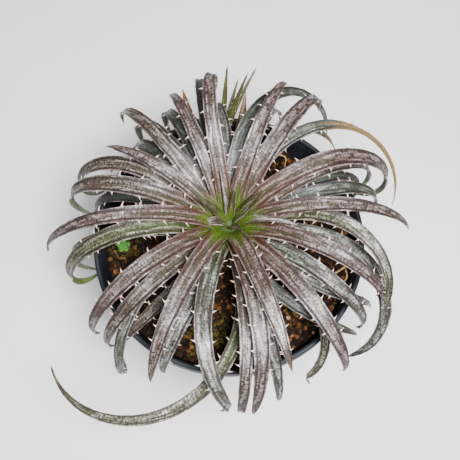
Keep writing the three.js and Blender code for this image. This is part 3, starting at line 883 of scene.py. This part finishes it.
# One row for each leaf in the order of its number: a Growth's figures after its name.
ROWS = (
    (186, 60, 145, 1.2, 2, 1.5, 126, 8.5, 3, 15, PU),
    (188, 50, 200, 1.3, 50, 2.2, 150, 10.0, -4, 16, OL),
    (165, 53, 190, 1.5, 14, 1.5, 135, 10.0, -1, 17, BR),
    (149, 50, 195, 1.5, 80, 2.2, 142, 9.0, -5, 18, BR),
    (147, 60, 100, 1.1, 5, 1.5, 84, 8.0, 3, 15, PU, 0.97),
    (131, 36, 150, 1.5, 12, 1.5, 110, 10.0, -9.6, 17, GY),
    (130, 47, 140, 1.4, 0, 1.5, 126, 8.5, -6.5, 17, BR),
    (124.6, 42, 170, 1.5, 13, 1.5, 127, 9.0, -8.5, 18.5, GN),
    (113, 58, 130, 1.2, 0, 1.5, 104, 8.0, 1, 15, PU),
    (113, 36, 180, 1.8, 12, 1.5, 128, 8.0, -14, 17, GY),
    (104, 44, 140, 1.6, -12, 1.5, 124, 8.0, -7.7, 17, GN),
    (102, 57, 200, 1.8, -70, 3.5, 128, 7.6, 3, 15, PU),
    (90.5, 41, 140, 1.4, 30, 2.0, 113, 8.0, -10, 18, GY),
    (87, 46.5, 130, 1.0, -150, 1.9, 151, 8.0, -2.6, 18, GY, 0.93),
    (71, 60, 130, 1.5, -8, 1.5, 104, 8.0, 2, 15, PU),
    (58, 54, 150, 1.5, -8, 1.5, 120, 9.5, -1, 17, PU),
    (65, 44, 105, 1.0, -171, 1.7, 155, 7.0, -5, 17, GY, 0.55),
    (32, 58, 200, 1.2, -70, 1.8, 160, 10.0, 1.2, 16, PU),
    (30, 46, 175, 1.4, -18, 1.5, 134, 7.5, -6, 17, BR),
    (21, 41, 150, 1.5, -20, 1.5, 118, 8.5, -9, 18, GY),
    (2, 60, 132, 1.1, -6, 1.5, 117, 8.5, 3, 16, PU),
    (5, 53, 126, 1.15, -120, 1.9, 129, 8.5, -3, 16, OL),
    (350, 66, 65, 1.0, -14, 1.5, 40, 4.5, 9, 15, Tint.YOUNG),
    (339, 53, 143, 1.3, -14, 1.5, 117, 9.0, 0, 15, PU),
    (0, 28, 111, 1.1, -215, 2.1, 162, 8.5, -12, 18, SI),
    (328, 48, 160, 1.4, -8, 1.5, 121, 9.0, -7, 17, SI),
    (311.5, 53, 150, 1.4, -8, 1.5, 126, 10.0, -4, 19, PU),
    (322, 33, 150, 1.6, -200, 2.8, 133, 6.0, -13, 20, OL),
    (291, 60, 115, 1.2, 0, 1.5, 98, 9.5, 3, 15, PU, 0.97),
    (286.8, 57, 148, 1.1, -50, 2.5, 129, 9.5, -1, 17, PU),
    (287, 24, 40, 1.0, -178, 1.45, 186, 7.0, -16, 22, OL),
    (282, 42, 188, 1.6, -35, 1.5, 145, 7.0, -7.5, 17, BR),
    (290, 39, 140, 1.3, -10, 1.5, 120, 8.0, -9, 18, SI),
    (253, 53, 174, 1.5, 112, 2.5, 144, 9.0, -3.3, 17, SI),
    (240.5, 60, 140, 1.1, 10, 1.5, 113, 9.5, 3.3, 15, PU),
    (249, 46, 150, 1.4, -15, 1.5, 109, 9.0, -6, 17, SI),
    (234, 36, 120, 1.2, -35, 1.5, 107, 7.0, -12, 17, BR),
    (215, 54, 165, 1.4, 10, 1.5, 126, 9.5, 0, 16, PU),
    (225, 52, 165, 1.4, -6, 1.5, 124, 9.0, -5, 17, BR),
    (213, 34, 180, 1.5, 85, 1.5, 149, 6.5, -9, 17, GY),
    (75, 37, 131, 1.2, -35, 2.8, 124, 7.0, -13, 18, GY),
    (63.7, 47.5, 106, 1.05, -116, 3.0, 102.5, 7.0, -8.2, 18, SI, 0.9),
    (32, 37, 160, 1.5, -30, 1.5, 120, 7.0, -12, 17, GN),
    (317, 38, 125, 1.3, 80, 2.0, 112, 7.5, -7.7, 18, GY),
    (297, 34, 113, 1.4, 85, 1.5, 110, 7.0, -14, 21, GY),
    (184, 36, 180, 1.5, 5, 1.5, 138, 7.0, -12, 17, GY),
    (160, 40, 150, 1.4, 22, 1.5, 108, 8.0, -9, 17, GN),
    (146, 38, 115, 1.4, 5, 1.5, 95, 7.0, -12.8, 17, GN),
)
ROSETTE = [Growth(f"leaf_{number:02d}", *row) for number, row in enumerate(ROWS, 1)]
DRIED = [
    Growth("dry_leaf_1", 108.1, 10, 8, 1.2, -4, 1.5, 94, 8.5, -24, 21, Tint.DRIED),
    Growth("dry_leaf_2", 84.5, 10, 2, 1.2, -2, 1.5, 88, 8.5, -25, 21, Tint.DRIED),
]


@dataclass(frozen=True)
class Rosette:
    """The grown leaves, each a piece of its own from its root inside the crown to its tip."""

    blade: Blade = Blade()
    dried_blade: Blade = Blade(mid=1.6, channel=0.3, young_to=(0.0, 1.0), young_middle=0.0)
    upper_from: float = -4.0  # leaves that grow from above this level are upper ones

    def build(self) -> None:
        """Makes every leaf and puts it in the place of its node."""
        for growth in ROSETTE + DRIED:
            dried = growth.tint is Tint.DRIED
            keel = Keel(growth, np.array([0.0, 0.0, GROWING_POINT + growth.level]), LEAF_START)
            surface = (self.dried_blade if dried else self.blade).build(keel)
            piece = put(f"{growth.name}_blade", surface, [growth.tint.value, ThornFinish()])
            stand_for(piece, growth.name)


@dataclass(frozen=True)
class StemFinish(Finish):
    """The stem's bark: brown papery leaf bases below, green where leaves still grow from it."""

    name: str = "stem bark"
    bark: str = "#3b2a1a"
    paper: str = "#7a5c38"
    green: str = "#2f4210"
    green_from: float = 120.0
    green_to: float = 134.0
    gloss = Gloss(roughness=0.7, bump=0.8, bump_height=0.5)

    def wire(self, net: Net) -> tuple:
        """Rings of old leaf bases, over a change from brown to green by height."""
        place = net.place()
        fibres = net.noise(place, 300.0, 300.0, 1200.0, detail=4.0)
        height = net.node("ShaderNodeSeparateXYZ", {0: place}).outputs["Z"]
        bark = net.blend(net.step(fibres, 0.35, 0.65), self.bark, self.paper)
        share = net.step(height, self.green_from * MM, self.green_to * MM)
        return net.blend(share, bark, self.green), None, fibres


@dataclass(frozen=True)
class Crown:
    """The short stem, its green heart and the youngest leaves at the growing point."""

    foot: float = 92.3
    stem_radius: float = 8.5
    rounding: float = 3.0
    sides: int = 64
    fluting: float = 0.03
    # radii of the stem's top, with their heights from the growing point
    heart: tuple[tuple[float, float], ...] = ((10, -16), (11.5, -8), (10, 0), (6, 5), (2.5, 9))
    grown: Blade = Blade(mid=1.9, thorns=None, station=0.7, young_to=(4.0, 14.0), young_middle=3.0)
    scaly: Blade = Blade(mid=1.9, thorns=None, station=0.7, young_to=(1.0, 6.0), young_middle=1.0)
    young: tuple[Growth, ...] = tuple(  # a golden angle apart, steeper and shorter inwards
        Growth(
            "crown", 20 + turn * 137.5, rise=70 + 3 * turn, droop=30, hook=1.4, swing=10, swing_hook=1.5,
            length=34 - 3 * turn, width=5.2 - 0.4 * turn, level=4, free=60, tint=Tint.INNER,
        )
        for turn in range(6)
    )
    newest: tuple[Growth, ...] = (
        Growth("crown", 100, 62, 30, 1.2, 6, 1.5, 30, 2.6, 7, 60, Tint.YOUNG),
        Growth("crown", 190, 70, 150, 1.3, 10, 1.5, 19, 5.0, 8, 60, Tint.YOUNG),
    )

    def leaf(self, growth: Growth) -> Surface:
        """Makes one leaf of the heart, which starts half as far out as a grown one."""
        inner = growth.tint is Tint.INNER
        root = np.array([0.0, 0.0, GROWING_POINT + growth.level])
        leaf = (self.grown if inner else self.scaly).build(Keel(growth, root, LEAF_START / 2))
        leaf.coat = 2 if inner else 0
        return leaf

    def build(self) -> None:
        """Makes the stem, the heart leaves and the scaly newest leaves in one piece."""
        profile = [(0, self.foot), (self.stem_radius - 1, self.foot), (self.stem_radius, SOIL_LEVEL)]
        profile += [(radius, GROWING_POINT + height) for radius, height in self.heart]
        outline = np.array(profile + [(0, profile[-1][1] + 1)], float)
        stem = lathe(fillet(outline, self.rounding), self.sides, coat=1)
        fluting = self.fluting * waves(stem.points[:, [0, 2]], seed=5, length=6.0)
        stem.points[:, :2] *= 1 + fluting[:, None]
        leaves = [self.leaf(growth) for growth in self.young + self.newest]
        finishes = [Tint.YOUNG.value, StemFinish(), Tint.INNER.value]
        stand_for(put("crown_heart", join([*leaves, stem]), finishes), "crown")


@dataclass(frozen=True)
class PotFinish(Finish):
    """Satin black polypropylene with a blue cast, faint turning marks and a little dust."""

    name: str = "black pot plastic"
    plastic: str = "#171c22"
    dust: str = "#373e47"
    gloss = Gloss(specular=0.3, bump=0.25, bump_height=0.12)

    def wire(self, net: Net) -> tuple:
        """Marks round the wall, over a fine grain; dust lies where a slow noise is high."""
        place = net.place()
        rings = net.noise(place, 12.0, 12.0, 900.0)
        cloud = net.noise(place, 45.0, detail=4.0)
        grain = net.noise(place, 3000.0)
        colour = net.blend(net.product(net.step(cloud, 0.5, 0.75), 0.35), self.plastic, self.dust)
        roughness = net.math("ADD", net.product(cloud, 0.28), net.step(rings, 0.3, 0.7, 0.4, 0.5))
        return colour, roughness, net.math("ADD", rings, net.product(grain, 0.3))


@dataclass(frozen=True)
class Pot:
    """The nursery pot: tapered wall, rolled lip with a bead, and a foot cut by drain notches."""

    height: float = 120.0
    lip_radius: float = 75.0
    lip_depth: float = 13.0
    lip_inner_radius: float = 72.0
    lip_slope: float = 0.6
    rim_round: float = 1.5
    wall_top_radius: float = 72.4
    base_radius: float = 54.0
    foot_chamfer: float = 4.0
    wall: float = 2.0
    floor: float = 3.0
    sides: int = 192
    notches: int = 6
    notch_width: float = 9.0
    notch_depth: float = 6.0
    notch_inward: float = 10.0
    bead: float = 0.35
    bead_below: float = 4.5
    bead_reach: float = 1.2
    lip_step: float = 0.5
    lip_step_below: tuple[float, float] = (3.5, 4.2)  # where the step inside starts and ends

    def inner_radius(self, height: float) -> float:
        """The radius of the inner wall at a height."""
        top = self.height - self.lip_depth
        low = self.base_radius - self.wall
        return low + (self.wall_top_radius - self.wall - low) * (height - self.floor) / (top - self.floor)

    def build(self) -> None:
        """Turns the pot, cuts its notches and puts it in the place of its node."""
        foot = self.height - self.lip_depth
        bead = self.height - self.bead_below
        corners = [  # each with its rounding
            (0, 0, 0),
            (self.base_radius - self.foot_chamfer, 0, 1),
            (self.base_radius, self.foot_chamfer, 1.5),
            (self.wall_top_radius, foot - self.wall, 0.8),
            (self.lip_radius - self.lip_slope, foot, 0.8),
            (self.lip_radius - 0.25, bead - self.bead_reach, 0.5),
            (self.lip_radius - self.bead - 0.2, bead, 0.5),
            (self.lip_radius, bead + 1.0, 0.5),
            (self.lip_radius, self.height, self.rim_round),
            (self.lip_inner_radius + 0.4, self.height, self.rim_round),
            (self.lip_inner_radius, self.height - self.lip_step_below[0], 0.6),
            (self.lip_inner_radius - self.lip_step, self.height - self.lip_step_below[1], 0.6),
            (self.wall_top_radius - self.wall, foot - self.wall, 0.8),
            (self.inner_radius(self.floor), self.floor, 1.5),
            (0, self.floor, 0),
        ]
        outline = np.array(corners, float)
        surface = lathe(fillet(outline[:, :2], outline[:, 2]), self.sides)
        shell = put("pot_shell", surface, [PotFinish()])
        self.cut(shell)
        stand_for(shell, "pot")

    def cut(self, shell: bpy.types.Object) -> None:
        """Cuts the drain notches out of the pot's foot, and leaves no modifier behind."""
        turn = turns(self.notches)[:, None] + np.pi / self.notches
        square = ((-1, -1), (1, -1), (1, 1), (-1, 1))
        cube = np.array([(x, y, z) for z in (-1, 1) for x, y in square], float)
        box = cube * [self.notch_inward, self.notch_width / 2, self.notch_depth]
        x, y, z = (box + [self.base_radius, 0, 0]).T
        points = turned(x, y, z, turn).reshape(-1, 3)
        sides = np.array([[0, 3, 2, 1], [4, 5, 6, 7], [0, 1, 5, 4], [1, 2, 6, 5], [2, 3, 7, 6], [3, 0, 4, 7]])
        quads = repeated(sides, len(cube), self.notches)
        cutter = put("notches", Surface(points, quads, NO_TRIS, points[:, :2]), [])
        cutting = shell.modifiers.new("notches", "BOOLEAN")
        cutting.operation = "DIFFERENCE"
        cutting.object = cutter
        bpy.context.view_layer.update()
        evaluated = shell.evaluated_get(bpy.context.evaluated_depsgraph_get())
        mesh = bpy.data.meshes.new_from_object(evaluated)
        shell.modifiers.clear()
        shell.data = mesh
        bpy.data.objects.remove(cutter)


@dataclass(frozen=True)
class MixFinish(Finish):
    """Baked clay and bark granules, with moss on some: each granule has its own tone."""

    name: str = "potting granules"
    moss: str = "#5c5a1c"
    tones: tuple[tuple[float, str], ...] = (
        (0.0, "#0a0604"), (0.28, "#231509"), (0.52, "#442a12"), (0.76, "#73441f"), (0.92, "#9c6c40"),
        (1.0, "#aa9b84"),
    )
    gloss = Gloss(roughness=0.88, specular=0.25, bump=0.9, bump_height=0.4)

    def wire(self, net: Net) -> tuple:
        """A colour for each granule's tone, broken by pores, with moss over it."""
        place = net.place()
        pores = net.noise(place, 1500.0, detail=3.0)
        stain = net.noise(place, 420.0, detail=3.0)
        tone = net.math("ADD", net.mark("tone"), net.step(stain, 0.2, 0.8, -0.14, 0.14))
        mossy = net.product(net.mark("moss"), net.step(stain, 0.4, 0.6))
        colour = net.blend(mossy, net.shades(tone, *self.tones), self.moss)
        dark = net.shades(pores, (0.3, "#6a6a6a"), (0.6, "#ffffff"))
        return net.blend(0.7, colour, dark, "MULTIPLY"), None, pores


@dataclass(frozen=True)
class MossFinish(Finish):
    """Moss leaves: olive at the root, yellower at the point."""

    name: str = "moss"
    root: str = "#2f3512"
    point: str = "#8c8430"
    gloss = Gloss(roughness=0.75, specular=0.3)

    def wire(self, net: Net) -> tuple:
        """Colours a blade by how far out along it a point lies."""
        grain = net.noise(net.place(), 900.0)
        out = net.math("ADD", net.mark("out"), net.step(grain, 0.3, 0.7, -0.3, 0.3))
        return net.blend(net.step(out, 0.0, 1.0), self.root, self.point), None, grain


@dataclass(frozen=True)
class PottingMix:
    """The mix that fills the pot: a near-black bed, a layer of granules on it, and tufts of moss; the bed is
    the mix's own dark colour and the painted shade in the gaps between granules.
    """

    pot: Pot  # the pot that it fills
    bottom: float = 3.3  # the height of its underside
    bed_below: float = 1.2  # how far the bed's top lies under the mix's level
    wall_gap: float = 0.3  # from the mix to the pot's wall
    spacing: float = 2.45  # from one granule to the next
    jitter: float = 0.33  # the most by which a granule stands off its even place, as a share of that
    granule: tuple[float, float] = (0.95, 1.95)  # the least and the greatest half width of a granule
    # the least and the greatest stretch of a granule along each of its axes
    stretch: tuple[float, float] = (0.75, 1.2)
    knobs: tuple[float, float] = (0.65, 1.25)  # the same of each of its points, away from its middle
    # the lowest and the highest middle of a granule, from the mix's level
    sink: tuple[float, float] = (-1.9, 0.5)
    stem_clear: float = 8.6  # the radius round the plant's axis that stays free
    rim_clear: float = 1.4  # from the granules to the pot's wall
    tufts: int = 1500  # how many tufts of moss are tried
    tuft: int = 6  # blades of moss in a tuft
    tuft_spread: float = 0.9  # how far they spread
    # the least and the greatest height of a blade of moss
    moss_height: tuple[float, float] = (0.9, 2.0)
    moss_lean: float = 0.55  # how far it leans over for each millimetre of that
    moss_radius: float = 0.22  # the radius of its foot
    seed: int = 41  # chooses all the draws

    def reach(self) -> float:
        """How far from the axis granules and moss may stand."""
        return self.pot.inner_radius(SOIL_LEVEL) - self.rim_clear

    def inside(self, places: Array, further: float = 0.0) -> Array:
        """Which places lie between the stem, or somewhat further out, and the pot's wall."""
        away = np.hypot(places[:, 0], places[:, 1])
        return (away < self.reach()) & (away > self.stem_clear + further)

    def moss_at(self, places: Array) -> Array:
        """How mossy the mix is at places on it, from 0 to 1."""
        field = waves(places, seed=7, length=38.0) + 0.5 * waves(places, seed=8, length=13.0)
        return ramp(field, 0.15, 0.7)

    def places(self, draw: np.random.Generator) -> Array:
        """Uneven places for the granules, a jittered grid of staggered rows inside the pot."""
        reach, row_pitch = self.reach(), 0.866  # the rows' distance, as a share of the spacing
        count = int(2 * reach / self.spacing) + 2
        column, row = np.meshgrid(np.arange(count), np.arange(int(count / row_pitch)))
        grid = stacked(column + 0.5 * (row % 2), row * row_pitch).reshape(-1, 2) * self.spacing
        grid += draw.uniform(-self.jitter, self.jitter, grid.shape) * self.spacing - reach
        return grid[self.inside(grid)]

    def granules(self, draw: np.random.Generator) -> Surface:
        """Makes the granules: one knobbly pebble for each place, stretched and turned its own way."""
        ball, faces = pebble()
        places = self.places(draw)
        count, each = len(places), len(ball)
        size = draw.uniform(*self.granule, (count, 1, 1)) * draw.uniform(*self.stretch, (count, 1, 3))
        shape = ball[None] * draw.uniform(*self.knobs, (count, each, 1)) * size
        w, x, y, z = unit(draw.normal(size=(count, 4))).T
        spin = [
            stacked(1 - 2 * (y * y + z * z), 2 * (x * y - w * z), 2 * (x * z + w * y)),
            stacked(2 * (x * y + w * z), 1 - 2 * (x * x + z * z), 2 * (y * z - w * x)),
            stacked(2 * (x * z - w * y), 2 * (y * z + w * x), 1 - 2 * (x * x + y * y)),
        ]
        mounds = 0.6 * waves(places, seed=3, length=30.0)
        height = SOIL_LEVEL + draw.uniform(*self.sink, count) + mounds
        centre = np.column_stack([places, height])
        points = np.einsum("nij,nkj->nki", np.stack(spin, axis=1), shape) + centre[:, None]
        patch = 0.5 * waves(places, seed=11, length=50.0)
        tone = np.clip(draw.beta(1.7, 2.3, count) * 0.98 + 0.25 * patch, 0, 0.99)
        moss = self.moss_at(places) * draw.uniform(0.3, 1.0, count)
        marks = {"tone": np.repeat(tone, each), "moss": np.repeat(moss, each)}
        points = points.reshape(-1, 3)
        return Surface(points, NO_QUADS, repeated(faces, each, count), points[:, :2] / 10, marks)

    def moss(self, draw: np.random.Generator) -> Surface:
        """Makes the moss: thin three-sided blades that stand in clumps where the mix is mossy."""
        reach = self.reach()
        places = np.repeat(draw.uniform(-reach, reach, (self.tufts, 2)), self.tuft, axis=0)
        places += draw.normal(0, self.tuft_spread, places.shape)
        mossy = self.moss_at(places) > draw.uniform(0.25, 1.0, len(places))
        places = places[self.inside(places, further=2) & mossy]
        count = len(places)
        foot = np.column_stack([places, SOIL_LEVEL + draw.uniform(0.0, 0.9, count)])
        way = np.column_stack([draw.normal(0, self.moss_lean, (count, 2)), np.ones(count)])
        tips = foot + way * draw.uniform(*self.moss_height, count)[:, None]
        turn = draw.uniform(0, 2 * np.pi, (count, 1)) + turns(3)
        rings = (foot[:, None] + stacked(np.cos(turn), np.sin(turn), 0.0) * self.moss_radius)[:, None]
        return cones(rings, tips, np.array([0.0, 0.0, 0.0, 1.0]), coat=1)

    def build(self) -> None:
        """Makes the filled mix in one piece and puts it in the place of its node."""
        draw = np.random.default_rng(self.seed)
        top = SOIL_LEVEL - self.bed_below
        low, high = (self.pot.inner_radius(level) - self.wall_gap for level in (self.bottom, top))
        crust = [(radius, top) for radius in np.linspace(high - 0.5, 1.0, 30)]
        outline = [(0, self.bottom), (low, self.bottom), (high, top - 1), *crust, (0, top)]
        bed = lathe(np.array(outline, float), 96)
        upper = bed.points[:, 2] > top - 0.5
        bed.points[upper, 2] += 0.5 * waves(bed.points[upper, :2], seed=9, length=5.0)
        # the bed's near-black tone: the dark mix below, and the painted shade seen in the gaps between
        # granules
        bed.marks = {"tone": np.full(len(bed.points), 0.06)}
        surface = join([bed, self.granules(draw), self.moss(draw)])
        piece = put("potting_mix", surface, [MixFinish(), MossFinish()], smooth=False)
        stand_for(piece, "soil")


@dataclass(frozen=True)
class Pup:
    """A small offset at the back of the pot: a short neck and a fan of thin leaves.

    Each leaf has its azimuth, rise, droop, length and width.
    """

    x: float = -4.5
    y: float = 63.0
    foot: float = 96.3
    neck: float = 109.0
    foot_radius: float = 4.2
    neck_radius: float = 3.0
    rounding: float = 1.5
    sides: int = 32
    leaves: tuple[tuple[float, ...], ...] = (
        (82, 70, 20, 52, 3.2),
        (58, 68, 28, 49, 3.0),
        (57, 62, 42, 51, 2.8),
        (70, 60, 30, 41, 2.8),
        (112, 66, 25, 24, 2.8),
        (150, 58, 35, 26, 2.6),
        (205, 64, 40, 24, 2.6),
    )
    thorns: Thorns = Thorns(
        pitch=5.2, length=1.1, root=0.3, needle=0.07, thick=0.2, hook=0.5, swell=0.1, swell_reach=0.6
    )

    def growth(self, azimuth: float, rise: float, droop: float, length: float, width: float) -> Growth:
        """Fills up a leaf's five figures with those that all the leaves here share."""
        return Growth(
            "pup", azimuth, rise, droop, hook=1.3, swing=0, swing_hook=1.0,
            length=length, width=width, level=0, free=0.0, tint=Tint.OFFSET,
        )

    def build(self) -> None:
        """Makes the offset in one piece and puts it in the place of its node."""
        outline = np.array([
            (0, self.foot),
            (self.foot_radius - 1, self.foot),
            (self.foot_radius, SOIL_LEVEL),
            (self.neck_radius, self.neck + 2),
            (0, self.neck + 4),
        ])
        core = lathe(fillet(outline, self.rounding), self.sides, coat=2)
        core.points[:, :2] += [self.x, self.y]
        young = {"young_to": (3.0, 14.0), "young_middle": 2.0}
        blade = Blade(mid=1.5, edge=0.6, station=0.8, thorns=self.thorns, **young)
        root, start = np.array([self.x, self.y, self.neck]), self.neck_radius / 2
        blades = [blade.build(Keel(self.growth(*figures), root, start)) for figures in self.leaves]
        finishes = [Tint.OFFSET.value, ThornFinish(), StemFinish()]
        stand_for(put("pup_fan", join([*blades, core]), finishes), "pup")


@dataclass(frozen=True)
class HerbFinish(Finish):
    """A soft green herb leaf: paler along its veins."""

    name: str = "herb leaf"
    leaf: str = "#2f7414"
    mottle: str = "#1f560d"
    vein: str = "#5c9c34"
    gloss = Gloss(roughness=0.45, bump=0.4)

    def wire(self, net: Net) -> tuple:
        """Veins where a noise's middle value passes, over a mottled green."""
        cloud = net.noise(net.place(), 700.0, detail=3.0)
        vein = net.product(net.step(cloud, 0.44, 0.5), net.step(cloud, 0.56, 0.5), 0.7)
        mottled = net.blend(net.step(cloud, 0.3, 0.7), self.mottle, self.leaf)
        return net.blend(vein, mottled, self.vein), None, cloud


@dataclass(frozen=True)
class Seedling:
    """A weed seedling at the edge of the mix: a thin stem and five round, cupped leaves."""

    x: float = -60.0
    y: float = -0.5
    stem_radius: float = 0.9
    stem_lean: float = 0.3
    stem_steps: int = 10
    height: float = 5.0
    depth: float = 4.0
    leaves: int = 5
    leaf_radius: float = 1.9
    narrow: float = 0.85
    thick: float = 0.22
    reach: float = 2.2
    leaf_drop: float = 1.4
    leaf_step: float = 0.35
    cup: float = 0.12
    levels: int = 14
    around: int = 20

    def leaf(self, number: int) -> Surface:
        """Makes one leaf, a flat ball whose rim stands up by cup times the radius squared."""
        polar = np.linspace(0, np.pi, self.levels)[1:-1, None]
        turn = turns(self.around)
        x = self.leaf_radius * np.sin(polar) * np.cos(turn)
        y = self.leaf_radius * self.narrow * np.sin(polar) * np.sin(turn)
        z = self.leaf_radius * self.thick * -np.cos(polar) + self.cup * (x * x + y * y)
        x += self.reach
        step = 2 * np.pi * (number + 0.3) / self.leaves
        level = SOIL_LEVEL + self.height - self.leaf_drop + self.leaf_step * (number % 3)
        rings = turned(x, y, level + z, step) + [self.x, self.y, 0.0]
        return tube(rings, rings[..., :2] / 10)

    def build(self) -> None:
        """Makes the seedling in one piece and puts it in the place of its node."""
        share = np.linspace(0, 1, self.stem_steps)
        height = SOIL_LEVEL + np.linspace(-self.depth + 0.3, self.height - 0.2, self.stem_steps)
        path = stacked(self.x + (self.stem_lean * share) ** 2, self.y, height)
        stem = rod(path, self.stem_radius * (1 - 0.4 * share))
        surface = join([stem, *(self.leaf(number) for number in range(self.leaves))])
        stand_for(put("seedling_herb", surface, [HerbFinish()]), "seedling")


@dataclass(frozen=True)
class StrawFinish(Finish):
    """Dried stalk: pale tan with darker lengthwise fibres."""

    name: str = "dried stalk"
    pale: str = "#c9a468"
    dark: str = "#7c5526"
    gloss = Gloss(roughness=0.7, bump=0.6)

    def wire(self, net: Net) -> tuple:
        """Fibres that run along the stalk."""
        fibres = net.noise(net.skin(), 2.0, 40.0, detail=3.0)
        return net.blend(net.step(fibres, 0.35, 0.65), self.pale, self.dark), None, fibres


@dataclass(frozen=True)
class Litter:
    """Bits of dried stalk, half sunk in the mix: each has its radius and the points it passes.

    Along a stalk that radius is multiplied by slim + joint * cos(joints * s), with s from 0 to
    1, give or take rough.
    """

    straws: tuple[tuple[float, tuple[Place, ...]], ...] = (
        (0.8, ((54, -19, 105.4), (60, -16, 106.2), (66, -12.5, 107))),
        (0.6, ((66, -14, 105.2), (66, -19, 106.4), (61, -25, 105))),
        (0.6, ((24, 51, 104.8), (27.5, 56.5, 106.8), (33.5, 55.5, 106.6), (33, 49.5, 104.8))),
        (0.6, ((17, 57, 104.8), (20.5, 62.5, 106.6), (25, 60, 106.4), (24.5, 55, 104.8))),
    )
    steps: int = 12
    slim: float = 0.82
    joint: float = 0.12
    joints: float = 14.0
    rough: float = 0.08

    def build(self) -> None:
        """Makes each stalk, thicker at its joints, and puts it in the place of its node."""
        for number, (radius, through) in enumerate(self.straws, 1):
            path = smooth_path(np.array(through, float), self.steps)
            run = np.linspace(0, 1, len(path))
            uneven = self.rough * waves(path[:, :2], seed=4, length=3.0)
            radii = radius * (self.slim + self.joint * np.cos(run * self.joints) + uneven)
            piece = put(f"straw_{number}_stalk", rod(path, radii), [StrawFinish()])
            stand_for(piece, f"straw_{number}")


# ------------------------------------------------------------------ studio


@dataclass(frozen=True)
class PaperFinish(Finish):
    """A barely mottled pale paper."""

    name: str = "floor paper"
    pale: str = "#f6f6f6"
    shade: float = 0.97
    gloss = Gloss(roughness=0.8, specular=0.2, bump=0.05)

    def wire(self, net: Net) -> tuple:
        """A slow cloud between the paper's colour and a slightly darker one."""
        cloud = net.noise(net.place(), 6.0)
        dark = (*(value * self.shade for value in linear(self.pale)[:3]), 1.0)
        return net.blend(net.step(cloud, 0.3, 0.7), self.pale, dark), None, cloud


@dataclass(frozen=True)
class Lamp:
    """A round soft light: its middle, its width and its power in watts."""

    name: str
    place: Place
    width: float
    power: float


@dataclass(frozen=True)
class Studio:
    """A pale floor, soft light and the camera that looks steeply down on the plant."""

    elevation: float = 70.0  # the camera's angle above the horizon, in degrees
    distance: float = 400.0  # from the camera to the growing point
    focal: float = 750.0  # the focal length, in pixels of the picture
    picture: float = 460.0  # the picture's width, in pixels
    # how far right and down the growing point lies from the middle, in pixels
    centre_off: tuple[float, float] = (-1.0, -2.0)
    floor_reach: float = 3000.0  # half the floor's width
    sky: str = "#eef1f5"  # the colour of the light from all round
    sky_strength: float = 0.06  # the strength of that light
    # the lights
    lamps: tuple[Lamp, ...] = (
        Lamp("key", (110, -230, 780), 230, 18.0),
        Lamp("rear", (-60, 560, 620), 600, 2.0),
    )

    def build(self) -> None:
        """Sets up the floor, the lights, the world and the camera."""
        corners = np.array([[-1, -1, 0], [1, -1, 0], [1, 1, 0], [-1, 1, 0]]) * self.floor_reach
        sheet = Surface(corners, np.array([[0, 1, 2, 3]]), NO_TRIS, corners[:, :2])
        put("floor", sheet, [PaperFinish()])
        for lamp in self.lamps:
            self.light(lamp)
        world = bpy.data.worlds.new("studio")
        world.use_nodes = True
        background = world.node_tree.nodes["Background"].inputs
        background["Color"].default_value = linear(self.sky)
        background["Strength"].default_value = self.sky_strength
        bpy.context.scene.world = world
        self.camera()

    def light(self, lamp: Lamp) -> None:
        """Hangs a lamp that faces the growing point."""
        data = bpy.data.lights.new(lamp.name, "AREA")
        data.shape = "DISK"
        data.size = lamp.width * MM
        data.energy = lamp.power
        made = linked(lamp.name, data)
        made.location = np.array(lamp.place, float) * MM
        x, y, z = np.array([0, 0, GROWING_POINT]) - lamp.place
        made.rotation_euler = (np.arctan2(np.hypot(x, y), -z), 0.0, np.arctan2(y, x) - np.pi / 2)

    def camera(self) -> None:
        """Stands the camera at its elevation and distance, aimed at the growing point."""
        lens = bpy.data.cameras.new("camera")
        lens.sensor_width = 36.0
        lens.sensor_fit = "HORIZONTAL"
        lens.lens = self.focal * lens.sensor_width / self.picture
        lens.shift_x = -self.centre_off[0] / self.picture
        lens.shift_y = self.centre_off[1] / self.picture
        made = linked("camera", lens)
        tilt = np.radians(self.elevation)
        away = self.distance * np.array([0.0, -np.cos(tilt), np.sin(tilt)])
        made.location = (away + [0, 0, GROWING_POINT]) * MM
        made.rotation_euler = (np.pi / 2 - tilt, 0.0, 0.0)
        bpy.context.scene.camera = made


# ------------------------------------------------------------------ the whole plant


def main() -> None:
    logging.basicConfig(level=logging.INFO, format="%(name)s: %(message)s")
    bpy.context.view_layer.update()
    pot = Pot()
    for whole in (Studio(), pot, PottingMix(pot), Crown(), Rosette(), Pup(), Seedling(), Litter()):
        whole.build()


if __name__ == "__main__":
    main()
